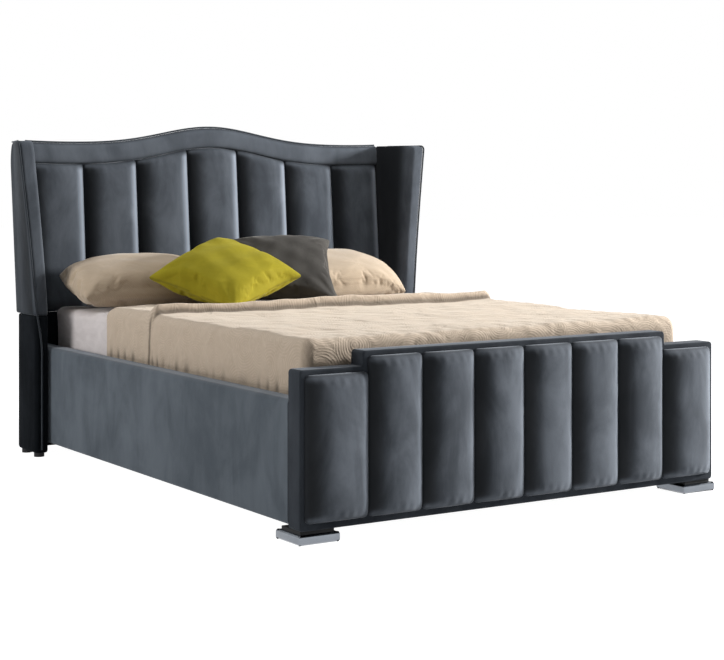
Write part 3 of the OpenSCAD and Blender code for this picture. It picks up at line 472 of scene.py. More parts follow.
class Graph:
    """Builds the nodes of one material or of the world."""

    def __init__(self, name: str, world: bool = False) -> None:
        """Starts an empty graph.

        Args:
            name: name of the material or the world.
            world: a world in place of a material.
        """
        self.owner = (bpy.data.worlds if world else bpy.data.materials).new(name)
        self.owner.use_nodes = True
        self.tree = self.owner.node_tree
        self.tree.nodes.clear()

    def node(
        self, kind: str, settings: dict[str, Any] | None = None, sockets: dict[Any, Any] | None = None
    ) -> bpy.types.Node:
        """Adds a node.

        Args:
            kind: the node's type.
            settings: its properties.
            sockets: values or links of its inputs, by name or number.

        Returns:
            The node.
        """
        made = self.tree.nodes.new(kind)
        for key, value in (settings or {}).items():
            setattr(made, key, value)
        for key, value in (sockets or {}).items():
            if isinstance(value, Link):
                self.tree.links.new(value.socket, made.inputs[key])
            else:
                made.inputs[key].default_value = value
        return made

    def math(self, operation: str, first: Any, second: Any) -> Link:
        """A Math node."""
        made = self.node("ShaderNodeMath", {"operation": operation}, {0: first, 1: second})
        return Link(self, made.outputs[0])

    def mix(self, factor: Link | float, first: Any, second: Any) -> Link:
        """A mix of two colours.

        Args:
            factor: 0 for the first and 1 for the second.
            first: a colour or a link.
            second: a colour or a link.

        Returns:
            The mixed colour.
        """
        full = [(*c, 1.0) if isinstance(c, tuple) else c for c in (first, second)]
        made = self.node("ShaderNodeMix", {"data_type": "RGBA"}, {0: factor, 6: full[0], 7: full[1]})
        return Link(self, made.outputs[2])

    def place(
        self, scale: Triple = (1.0, 1.0, 1.0), turn: Triple = (0.0, 0.0, 0.0), uv: bool = False
    ) -> Link:
        """Object coordinates, or the cloth's own, stretched and turned.

        Args:
            scale: stretch along each axis.
            turn: turn about each axis, in radians.
            uv: the cloth's own coordinates in place of the object's.

        Returns:
            The place.
        """
        if uv:
            source = self.node("ShaderNodeUVMap", {"uv_map": "cloth"}).outputs["UV"]
        else:
            source = self.node("ShaderNodeTexCoord").outputs["Object"]
        sockets = {"Vector": Link(self, source), "Scale": scale, "Rotation": turn}
        return Link(self, self.node("ShaderNodeMapping", None, sockets).outputs["Vector"])

    def noise(
        self, at: Link, scale: float, detail: float = 3.0, rough: float = 0.5, bend: float = 0.0
    ) -> Link:
        """Noise between 0 and 1.

        Args:
            at: where it is read.
            scale: how many clouds go to a metre.
            detail: how many finer layers it has.
            rough: share that each finer layer keeps.
            bend: how far it is twisted.

        Returns:
            The noise.
        """
        made = self.node(
            "ShaderNodeTexNoise",
            None,
            {"Vector": at, "Scale": scale, "Detail": detail, "Roughness": rough, "Distortion": bend},
        )
        return Link(self, made.outputs[0])

    def axis(self, at: Link, number: int) -> Link:
        """One coordinate of a place."""
        return Link(self, self.node("ShaderNodeSeparateXYZ", None, {0: at}).outputs[number])

    def value(self, name: str) -> Link:
        """A value that the mesh carries on its points; 0 where it has none."""
        return Link(self, self.node("ShaderNodeAttribute", {"attribute_name": name}).outputs["Fac"])

    def bump(self, height: Link, distance: float, strength: float = 1.0, over: Link | None = None) -> Link:
        """Surface relief.

        Args:
            height: height, from 0 to 1.
            distance: how far 1 stands out, in metres.
            strength: share of the relief that shows.
            over: an earlier relief that this one lies on.

        Returns:
            The normal.
        """
        sockets: dict[Any, Any] = {"Height": height, "Distance": distance, "Strength": strength}
        if over is not None:
            sockets["Normal"] = over
        return Link(self, self.node("ShaderNodeBump", None, sockets).outputs["Normal"])

    def finish(self, sockets: dict[str, Any]) -> bpy.types.Material:
        """Ends the graph in its shader.

        Args:
            sockets: values or links of the shader's inputs, by name.

        Returns:
            The material.
        """
        full = {k: (*v, 1.0) if isinstance(v, tuple) else v for k, v in sockets.items()}
        shader = self.node("ShaderNodeBsdfPrincipled", None, full)
        self.node("ShaderNodeOutputMaterial", None, {"Surface": Link(self, shader.outputs[0])})
        return self.owner

    def seen(self) -> Link:
        """1 on rays from the camera, a mirror or glass.

        Returns:
            The factor, 0 or 1.
        """
        path = self.node("ShaderNodeLightPath").outputs
        total = Link(self, path["Is Camera Ray"])
        for name in ("Is Glossy Ray", "Is Transmission Ray"):
            total = self.math("MAXIMUM", total, Link(self, path[name]))
        return total

    def blend(self, kind: str, factor: Link, first: bpy.types.Node, second: bpy.types.Node) -> bpy.types.ID:
        """Ends the graph in a mix of two shaders.

        Args:
            kind: type of the output node.
            factor: 0 for the first shader and 1 for the second.
            first: a shader.
            second: a shader.

        Returns:
            The material or the world.
        """
        pair = {1: Link(self, first.outputs[0]), 2: Link(self, second.outputs[0])}
        mixed = self.node("ShaderNodeMixShader", None, {0: factor, **pair})
        self.node(kind, None, {"Surface": Link(self, mixed.outputs[0])})
        return self.owner


# Finishes


@dataclass(frozen=True)
class Finish:
    """A named finish that belongs to one of the record's material slots."""

    name: str
    slot: str

    def build(self) -> bpy.types.Material:
        """Makes the material."""
        raise NotImplementedError


@cache
def material_of(finish: Finish) -> bpy.types.Material:
    """The finish's material, made once."""
    return finish.build()


@dataclass(frozen=True)
class Velvet(Finish):
    """Short pile with a strong sheen and brushed marks, and painted light and shade from the mesh."""

    dark: Colour
    light: Colour
    sheen: float
    tint: Colour = (0.81, 0.87, 0.95)
    brushed: float = 1.0
    gloss: float = 0.2
    # painted light: gains of the painted shade and of the painted highlight, and the colour of the painted
    # shade in seams
    painted_shade_gain: float = 0.22
    painted_highlight_gain: float = 3.4
    seam_shade_colour: Colour = (0.008, 0.010, 0.013)

    def build(self) -> bpy.types.Material:
        """Clouds, upright brush strokes and pile grain mix two shades.

        The pile and soft dents make the relief. The mesh's painted light runs from -1, painted shade that
        darkens the colour, to 1, a painted highlight that lightens it.

        Returns:
            The material.
        """
        g = Graph(self.name)
        clouds = g.noise(g.place(), 3.1, 4.0, 0.55, 0.8)
        strokes = g.noise(g.place((7.0, 7.0, 2.6), (0.0, 0.35, 0.0)), 1.5, 5.0, 0.62, 0.6)
        pile = g.noise(g.place(), 620.0, 2.0, 0.6)
        soft = 0.16 / self.brushed
        shade = (clouds * 0.5 + strokes * 0.5).step(0.5 - soft, 0.5 + soft)
        mixed = g.mix(shade * 0.78 + pile * 0.22, self.dark, self.light)
        # painted light from the mesh, streaked by the brush strokes: painted shade below 0, a painted
        # highlight above
        painted_light = g.value("painted_light") + (strokes - 0.5) * 0.25 * g.value("streaked_painted_light")
        mixed = g.mix((painted_light * -1.0).step(0.02, 1.0), mixed, tuple(self.painted_shade_gain * c for c in self.dark))
        mixed = g.mix(painted_light.step(0.02, 1.0), mixed, tuple(self.painted_highlight_gain * c for c in self.light))
        dents = g.noise(g.place(), 16.0, 2.0, 0.5)
        return g.finish(
            {
                # painted shade in the seams, from the mesh's seam value
                "Base Color": g.mix(g.value("seam") * 0.75, mixed, self.seam_shade_colour),
                "Roughness": 0.92 - shade * 0.14,
                "Sheen Weight": self.sheen,
                "Sheen Roughness": 0.36,
                "Sheen Tint": self.tint,
                "Specular IOR Level": self.gloss,
                "Normal": g.bump(pile, 0.0004, 0.5, g.bump(dents, 0.0022, 0.5)),
            }
        )


@dataclass(frozen=True)
class QuiltedCloth(Finish):
    """Cotton cloth stitched in patches of curved ripples."""

    thread: Colour = (0.58, 0.47, 0.365)
    hollow_shade: Colour = (0.50, 0.405, 0.31)
    patch: float = 8.5
    wander: float = 0.06
    ripple: float = 700.0
    relief: float = 0.0007
    crease: float = 0.011

    def build(self) -> bpy.types.Material:
        """Each patch holds rings round its own middle, bent by noise: height is the sine of the distance.

        Returns:
            The material.
        """
        g = Graph(self.name)
        cloth = g.place(uv=True)
        wander = g.node("ShaderNodeTexNoise", None, {"Vector": cloth, "Scale": 5.0, "Detail": 1.0})
        shift = {0: Link(g, wander.outputs["Color"]), 1: (self.wander, self.wander, 0.0)}
        eased = g.node("ShaderNodeVectorMath", {"operation": "MULTIPLY"}, shift)
        bent = g.node("ShaderNodeVectorMath", {"operation": "ADD"}, {0: cloth, 1: Link(g, eased.outputs[0])})
        cells = g.node(
            "ShaderNodeTexVoronoi",
            {"voronoi_dimensions": "2D", "feature": "F1"},
            {"Vector": Link(g, bent.outputs[0]), "Scale": self.patch, "Randomness": 0.85},
        )
        rings = (Link(g, cells.outputs["Distance"]) * (self.ripple / self.patch)).wave()
        soft = g.noise(cloth, 42.0, 3.0)
        weave = g.noise(cloth, 900.0, 2.0, 0.6)
        ridge = (rings * 0.5 + 0.5) * (soft * 1.5 - 0.15)
        # painted shade: the ripples' troughs darker than their ridges
        colour = g.mix(ridge.step(0.05, 0.85), self.hollow_shade, self.thread)
        clouds = g.noise(g.place(), 2.4, 3.0)
        colour = g.mix(clouds * 0.35, colour, tuple(c * 0.86 for c in self.thread))
        # painted shade from the mesh's seam value: dark lines and painted shadows
        colour = g.mix(g.value("seam") * 0.85, colour, tuple(c * 0.22 for c in self.hollow_shade))
        folds = g.noise(g.place((1.0, 1.0, 1.3)), 6.5, 4.0, 0.5, 1.4)
        stitched = g.bump(ridge, self.relief, 1.0, g.bump(folds, self.crease, 1.0))
        return g.finish(
            {
                "Base Color": colour,
                "Roughness": 0.88 + weave * 0.08,
                "Sheen Weight": 0.25,
                "Sheen Roughness": 0.5,
                "Sheen Tint": (1.0, 0.95, 0.86),
                "Specular IOR Level": 0.25,
                "Normal": g.bump(weave, 0.0003, 0.5, stitched),
            }
        )


@dataclass(frozen=True)
class PlainCloth(Finish):
    """Woven cloth with fine threads and soft creases."""

    thread: Colour = (0.70, 0.65, 0.64)
    shade: Colour = (0.58, 0.53, 0.52)
    threads: float = 700.0
    crease: float = 0.0025
    sheen: float = 0.2

    def build(self) -> bpy.types.Material:
        """Two crossed sets of thread waves over creases of noise, with painted shade in the creases.

        Returns:
            The material.
        """
        g = Graph(self.name)
        at = g.place()
        warp = (g.axis(at, 0) * self.threads).wave()
        weft = ((g.axis(at, 1) + g.axis(at, 2)) * self.threads).wave()
        weave = (warp * weft) * 0.5 + 0.5
        folds = g.noise(g.place((1.0, 1.0, 2.2)), 9.0, 4.0, 0.55, 1.2)
        # painted shade in the folds' troughs, mixed with the weave's threads
        fold_shade_and_weave = (folds * 0.75 + weave * 0.25).step(0.25, 0.75)
        return g.finish(
            {
                "Base Color": g.mix(fold_shade_and_weave, self.shade, self.thread),
                "Roughness": 0.9 - folds * 0.08,
                "Sheen Weight": self.sheen,
                "Sheen Roughness": 0.5,
                "Specular IOR Level": 0.25,
                "Normal": g.bump(weave, 0.0003, 0.6, g.bump(folds, self.crease, 0.8)),
            }
        )


class Grain(Enum):
    """Direction that a board's grain runs in."""

    ACROSS = (1.2, 34.0, 34.0)
    ALONG = (34.0, 1.2, 34.0)


@dataclass(frozen=True)
class Timber(Finish):
    """Bare or lacquered wood with stretched grain."""

    light: Colour = (0.56, 0.40, 0.23)
    dark: Colour = (0.36, 0.23, 0.11)
    grain: Grain = Grain.ACROSS
    gloss: float = 0.5

    def build(self) -> bpy.types.Material:
        """Noise drawn out along the grain gives bands and pores.

        Returns:
            The material.
        """
        g = Graph(self.name)
        at = g.place(self.grain.value)
        bands = g.noise(at, 1.0, 5.0, 0.6, 0.9)
        pores = g.noise(g.place(tuple(5.0 * s for s in self.grain.value)), 1.0, 3.0, 0.7)
        tone = (bands * 0.7 + pores * 0.3).step(0.3, 0.7)
        return g.finish(
            {
                "Base Color": g.mix(tone, self.dark, self.light),
                "Roughness": self.gloss + bands * 0.15,
                "Normal": g.bump(pores, 0.0004, 0.5),
            }
        )


@dataclass(frozen=True)
class Metal(Finish):
    """Bare metal with rubbed marks: chrome, zinc or a ground rod."""

    tone: Colour = (0.72, 0.73, 0.75)
    rough: float = 0.08
    marks: float = 0.08

    def build(self) -> bpy.types.Material:
        """Faint streaks and clouds vary the roughness and the tone.

        Returns:
            The material.
        """
        g = Graph(self.name)
        streaks = g.noise(g.place((4.0, 60.0, 60.0)), 1.0, 4.0, 0.6)
        clouds = g.noise(g.place(), 26.0, 3.0)
        wear = streaks * 0.5 + clouds * 0.5
        return g.finish(
            {
                "Base Color": g.mix(wear.step(0.3, 0.8), tuple(0.86 * c for c in self.tone), self.tone),
                "Metallic": 1.0,
                "Roughness": self.rough + wear * self.marks,
                "Normal": g.bump(streaks, 0.0001, 0.3),
            }
        )


@dataclass(frozen=True)
class Coating(Finish):
    """Paint, powder coat or moulded plastic with a fine texture."""

    tone: Colour = (0.075, 0.080, 0.088)
    rough: float = 0.45
    grit: float = 900.0
    relief: float = 0.0002

    def build(self) -> bpy.types.Material:
        """Orange peel for the relief, and dusty clouds for the colour.

        Returns:
            The material.
        """
        g = Graph(self.name)
        peel = g.noise(g.place(), self.grit, 2.0)
        dust = g.noise(g.place(), 7.0, 5.0, 0.6)
        dusty = tuple(min(1.0, 1.5 * c + 0.01) for c in self.tone)
        return g.finish(
            {
                "Base Color": g.mix(dust.step(0.45, 0.85), self.tone, dusty),
                "Roughness": self.rough + dust * 0.2,
                "Normal": g.bump(peel, self.relief, 0.6),
            }
        )


@dataclass(frozen=True)
class Webbing(Finish):
    """Ribbed woven tape."""

    tone: Colour = (0.02, 0.02, 0.021)

    def build(self) -> bpy.types.Material:
        """Ribs run up the tape, crossed by fine threads.

        Returns:
            The material.
        """
        g = Graph(self.name)
        at = g.place()
        ribs = (g.axis(at, 0) * 1900.0).wave() * 0.5 + 0.5
        threads = (g.axis(at, 2) * 3600.0).wave() * 0.5 + 0.5
        woven = ribs * 0.6 + threads * 0.4
        return g.finish(
            {
                "Base Color": g.mix(woven, self.tone, tuple(3.0 * c for c in self.tone)),
                "Roughness": 0.7 + threads * 0.15,
                "Normal": g.bump(woven, 0.0005, 0.8),
            }
        )


class Finishes:
    """Every finish on the bed."""

    # The slate velvets are copies of one fabric, each toned for the light on its parts: painted light and
    # shade.
    VELVET = Velvet("slate_velvet", "velvet", (0.042, 0.049, 0.059), (0.110, 0.125, 0.148), 0.55)
    # darker copy for the piping: painted shade
    VELVET_CORD_PAINTED_SHADE = Velvet("slate_velvet_piping_painted_shade", "velvet", (0.020, 0.024, 0.029), (0.042, 0.049, 0.058), 0.4)
    # darker copy for the footboard cover and the headboard panel: painted shade
    VELVET_PAINTED_SHADE = Velvet(
        "slate_velvet_painted_shade", "velvet", (0.015, 0.018, 0.023), (0.036, 0.042, 0.051), 0.2, gloss=0.1
    )
    # slightly darker copy for the headboard and the wings: painted shade
    VELVET_HEAD_PAINTED_SHADE = Velvet(
        "slate_velvet_head_painted_shade", "velvet", (0.038, 0.044, 0.053), (0.084, 0.095, 0.111), 0.3, gloss=0.08
    )
    # near-black copy for the lower headboard and the wing bases: painted shade
    VELVET_DEEP_PAINTED_SHADE = Velvet(
        "slate_velvet_deep_painted_shade", "velvet", (0.004, 0.005, 0.006), (0.010, 0.012, 0.015), 0.02, gloss=0.02
    )
    # lighter copy for the side rails: painted light
    VELVET_RAIL_PAINTED_LIGHT = Velvet(
        "slate_velvet_rails_painted_light", "velvet", (0.056, 0.068, 0.082), (0.104, 0.123, 0.144), 0.35, brushed=0.9
    )
    GREEN = Velvet(
        "mustard_green_velvet",
        "green_velvet",
        dark=(0.235, 0.200, 0.008),
        light=(0.340, 0.285, 0.012),
        sheen=0.12,
        tint=(0.95, 0.92, 0.35),
    )
    CHARCOAL = Velvet(
        "charcoal_velvet",
        "charcoal_fabric",
        dark=(0.036, 0.033, 0.030),
        light=(0.058, 0.054, 0.048),
        sheen=0.25,
        tint=(0.6, 0.58, 0.54),
    )
    PILLOW = PlainCloth(
        "sand_pillow_cloth", "beige_fabric", (0.50, 0.395, 0.285), (0.42, 0.33, 0.235), crease=0.004
    )
    SPREAD = QuiltedCloth("sand_quilted_cloth", "beige_fabric")
    SHEET = PlainCloth("white_cotton_sheet", "mattress_fabric")
    CHROME = Metal("polished_chrome", "chrome", tone=(0.24, 0.26, 0.29), rough=0.14)
    ZINC = Metal("zinc_plate", "zinc_steel", tone=(0.55, 0.56, 0.58), rough=0.3, marks=0.25)
    ROD = Metal("ground_rod", "polished_rod", tone=(0.68, 0.69, 0.71), rough=0.1, marks=0.06)
    GREY = Coating("grey_powder_coat", "grey_paint")
    GLOSS_BLACK = Coating(
        "black_gloss_paint", "black_paint", tone=(0.012, 0.012, 0.013), rough=0.25, relief=0.00005
    )
    PLASTIC = Coating("black_moulded_plastic", "black_plastic", tone=(0.008, 0.008, 0.009), rough=0.8)
    LINING = Coating(
        "black_lining", "black_board", tone=(0.02, 0.02, 0.022), rough=0.8, grit=420.0, relief=0.0008
    )
    BEECH = Timber("lacquered_beech", "beech", gloss=0.32)
    PINE = Timber("sawn_pine", "pine", (0.60, 0.45, 0.27), (0.42, 0.28, 0.14), Grain.ALONG, 0.6)
    WEBBING = Webbing("black_webbing", "webbing")


# Assemblies


@dataclass
class Assembly:
    """A part of the bed whose pieces ride on one body."""

    body: str = "frame"

    def dress(self, finish: Finish, *nodes: str) -> None:
        """Gives frame nodes that keep their shape a finish.

        Args:
            finish: the finish.
            nodes: their names.
        """
        for name in nodes:
            node = FRAME["nodes"][name]
            node.data.materials.clear()
            node.data.materials.append(material_of(finish))
            log.info("%s: %s", name, finish.name)

    def place(
        self, solid: Solid, name: str, finish: Finish, *nodes: str, crease: float = 40.0
    ) -> bpy.types.Object:
        """Builds a piece that rides on this assembly's body and stands for frame nodes.

        Args:
            solid: its form.
            name: its name.
            finish: its finish.
            nodes: the frame's nodes that it stands for.
            crease: edges sharper than this many degrees stay sharp.

        Returns:
            The piece.
        """
        piece = solid.build(name, finish, crease)
        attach(piece, self.body)
        if nodes:
            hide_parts(*nodes)
        return piece

    def upholster(self, solid: Solid, name: str, finish: Finish, node: str) -> None:
        """Builds an upholstered piece that stands for one frame node."""
        self.place(solid, name, finish, node)


def pad(x: Array, z: Array, plane: Array, height: Array, seam: Array) -> Solid:
    """A pad on an upright plane: its outside stands out by a height, and its back lies on the plane.

    Args:
        x: grid of places across.
        z: grid of heights above the floor.
        plane: where the plane is.
        height: how far the pad stands out.
        seam: painted shade on its outside, from 0 to 1.

    Returns:
        The pad.
    """
    made = Solid.skin(np.stack([x, plane - height, z], axis=-1), np.stack([x, plane - CLEAR, z], axis=-1))
    # painted shade: the given value on the outside, full on the unseen back
    made.mark("seam", seam, np.ones_like(seam))
    return made


@dataclass
class Channel:
    """One upholstered channel: a pad that swells from thin rims to its crown."""

    x0: float
    x1: float
    z0: float
    top: Curve
    face: Curve
    crown: float
    seed: int
    rim: float = 0.0035
    corner: float = 0.016
    roll: float = 0.045
    pucker: float = 0.0009
    gather: float = 0.0011
    slack: float = 0.0010
    painted_highlight: float = 0.72
    columns: int = 41
    rows: int = 91

    def solid(self) -> Solid:
        """Height above the face is the crown times a swell across and a rounded roll at both ends.

        The swell across the pad mixes a parabola, 1 - s^2, with (1 - |s|^2.4)^0.5. Along it, a quarter
        circle over the last roll length closes the ends, and the outline's corners follow circles. Small
        puckers run along the seams. Painted shade darkens the left flank and the rims by the seams, and a
        painted highlight lightens the right flank.

        Returns:
            The pad.
        """
        s, t = grid(spread(self.columns, 0.9), spread(self.rows, 0.85))
        half = (self.x1 - self.x0) / 2.0
        middle = (self.x1 + self.x0) / 2.0
        top = self.top(middle + s * half)
        z = self.z0 + (top - self.z0) * (t + 1.0) / 2.0
        gap = np.minimum(z - self.z0, top - z)
        near = np.clip(self.corner - gap, 0.0, self.corner)
        drawn = self.corner - np.sqrt(np.maximum(0.0, self.corner**2 - near**2))
        x = middle + s * (half - drawn)
        side = (1.0 - np.abs(s)) * half
        swell = 0.4 * (1.0 - s**2) + 0.6 * (1.0 - np.abs(s) ** 2.4) ** 0.5
        end = np.sqrt(np.maximum(0.0, 1.0 - (1.0 - np.clip(gap / self.roll, 0.0, 1.0)) ** 2))
        phase = np.random.default_rng(self.seed).uniform(0.0, PHASE, 4)
        sides = wave(z, 0.061, phase[0]) * wave(z, 0.17, phase[1]) * bell(side - 0.012, 0.010)
        ends = wave(x, 0.034, phase[2]) * bell(gap - 0.020, 0.014)
        uneven = sides * self.pucker + ends * self.gather + ripples(x, z, self.seed, 0.16) * self.slack
        height = self.rim + (self.crown - self.rim) * swell * end + uneven * swell * end
        # painted shade darkens the rims by the seams
        made = pad(x, z, self.face(z), height, bell(np.minimum(side, gap), 0.007))
        # painted light: painted shade over the left flank and a painted highlight near the right edge,
        # fading at the ends
        laid = smooth(s, 0.45, 0.96) ** 1.6 * self.painted_highlight - (1.0 - smooth(s, -1.0, 0.0))
        laid = laid * smooth(gap, 0.0, 0.03)
        made.mark("painted_light", laid, laid)
        made.mark("streaked_painted_light", np.ones_like(laid), np.ones_like(laid))
        return made


@dataclass
class Footboard(Assembly):
    """Stepped footboard with a rounded cover and eight channels."""

    shoulder: float = 0.516
    top: float = 0.562
    z0: float = 0.040
    raised_half: float = 0.609
    border: float = 0.016
    border_low: float = 0.022
    crown: float = 0.034
    corner: float = 0.012
    inner_corner: float = 0.006
    round_edge: float = 0.006
    pads: int = 8
    # strength of the channels' painted highlight
    painted_highlight: float = 0.30

    def cover(self) -> Solid:
        """The stepped outline is carried round the front and back edges on quarter circles.

        Returns:
            The cover.
        """
        half, raised, r, inner = BED.rail_half, self.raised_half, self.corner, self.inner_corner
        points, inward = outline(
            [
                (-half, self.z0, r),
                (half, self.z0, r),
                (half, self.shoulder, r),
                (raised, self.shoulder, inner),
                (raised, self.top, r),
                (-raised, self.top, r),
                (-raised, self.shoulder, inner),
                (-half, self.shoulder, r),
            ]
        )
        turn = np.linspace(0.0, QUARTER, 6)
        inset = self.round_edge * (1.0 - np.sin(turn))
        rise = self.round_edge * (1.0 - np.cos(turn))
        depth = np.concatenate([BED.foot_face + rise, BED.foot_in - rise[::-1]])
        upright = rings(points, inward, np.concatenate([inset, inset[::-1]]), depth)
        return Solid.stack(upright[..., [0, 2, 1]])

    def seam(self, k: int) -> float:
        """Place of the k-th seam across the footboard."""
        if k in (0, self.pads):
            return math.copysign(BED.rail_half - self.border, k - 1)
        return (k - self.pads / 2) * (2.0 * (self.raised_half - self.border) / (self.pads - 2))

    def build(self) -> None:
        """Makes the cover and the channels."""
        self.place(self.cover(), "footboard_cover", Finishes.VELVET_PAINTED_SHADE, "footboard")
        for k in range(1, self.pads + 1):
            high = (self.shoulder if k in (1, self.pads) else self.top) - self.border
            channel = Channel(
                self.seam(k - 1) + CLEAR,
                self.seam(k) - CLEAR,
                self.z0 + self.border_low,
                level(high),
                level(BED.foot_face),
                self.crown,
                seed=10 + k,
                painted_highlight=self.painted_highlight,
            )
            name, node = f"footboard_channel_{k}", f"footboard_pad_{k}"
            self.upholster(channel.solid(), name, Finishes.VELVET, node)


@dataclass
class Headboard(Assembly):
    """Raked headboard with seven channels under a padded, piped crest."""

    pads: int = 7
    pad_drop: float = 0.0017
    crown: float = 0.0325
    border_crown: float = 0.017
    border_rim: float = 0.0035
    # painted highlight over the whole crest
    border_painted_highlight: float = 0.17
    half: float = 0.8337
    margin: float = 0.004
    piping: float = 0.0035

    def seam(self, k: int) -> float:
        """Place of the k-th seam across the headboard."""
        half = self.half - self.margin
        return -half + 2.0 * half * k / self.pads

    def crest(self) -> Solid:
        """Band under the curved edge: its swell is (1 - |s|^3.4)^0.5 across, with a little slack along.

        Returns:
            The band.
        """
        x, s = grid(np.linspace(-self.half, self.half, 181), spread(25, 0.9))
        half = BED.border_h / 2.0
        z = BED.edge_at(x) - half + s * (half - 2.0 * CLEAR)
        swell = (1.0 - np.abs(s) ** 3.4) ** 0.5
        slack = ripples(x, z, 71, 0.13) * 0.0011
        height = self.border_rim + (self.border_crown - self.border_rim) * swell + slack * swell
        # painted shade darkens the band towards its edges
        made = pad(x, z, BED.panel_y(z), height, bell((1.0 - np.abs(s)) * half, 0.006))
        # painted highlight lightens the whole crest
        made.values["painted_light"] = np.full(len(made.points), self.border_painted_highlight)
        return made

    def crest_piping(self) -> Solid:
        """Piping: a tube along the curve of the top edge.

        Returns:
            The piping.
        """
        x = np.linspace(-self.half, self.half, 161)
        z = BED.edge_at(x) + self.piping + CLEAR
        route = np.stack([x, BED.panel_y(z) + self.piping, z], axis=1)
        return Solid.tube(route, self.piping, (0.0, 1.0, 0.0))

    def build(self) -> None:
        """Makes the channels, the crest and the piping, and dresses the boards."""
        for k in range(1, self.pads + 1):
            channel = Channel(
                self.seam(k - 1) + CLEAR,
                self.seam(k) - CLEAR,
                BED.split_z - self.pad_drop,
                BED.border_at,
                BED.panel_y,
                self.crown,
                seed=30 + k,
                rows=121,
            )
            name, node = f"headboard_channel_{k}", f"headboard_pad_{k}"
            self.upholster(channel.solid(), name, Finishes.VELVET_HEAD_PAINTED_SHADE, node)
        self.upholster(self.crest(), "headboard_crest", Finishes.VELVET_HEAD_PAINTED_SHADE, "headboard_border")
        self.place(self.crest_piping(), "crest_piping", Finishes.VELVET_CORD_PAINTED_SHADE, "headboard_piping")
        self.dress(Finishes.VELVET_DEEP_PAINTED_SHADE, "headboard_base")
        self.dress(Finishes.VELVET_PAINTED_SHADE, "headboard_panel")
        self.dress(Finishes.GREY, "headboard_straps")
        self.dress(Finishes.PLASTIC, "rear_glides")


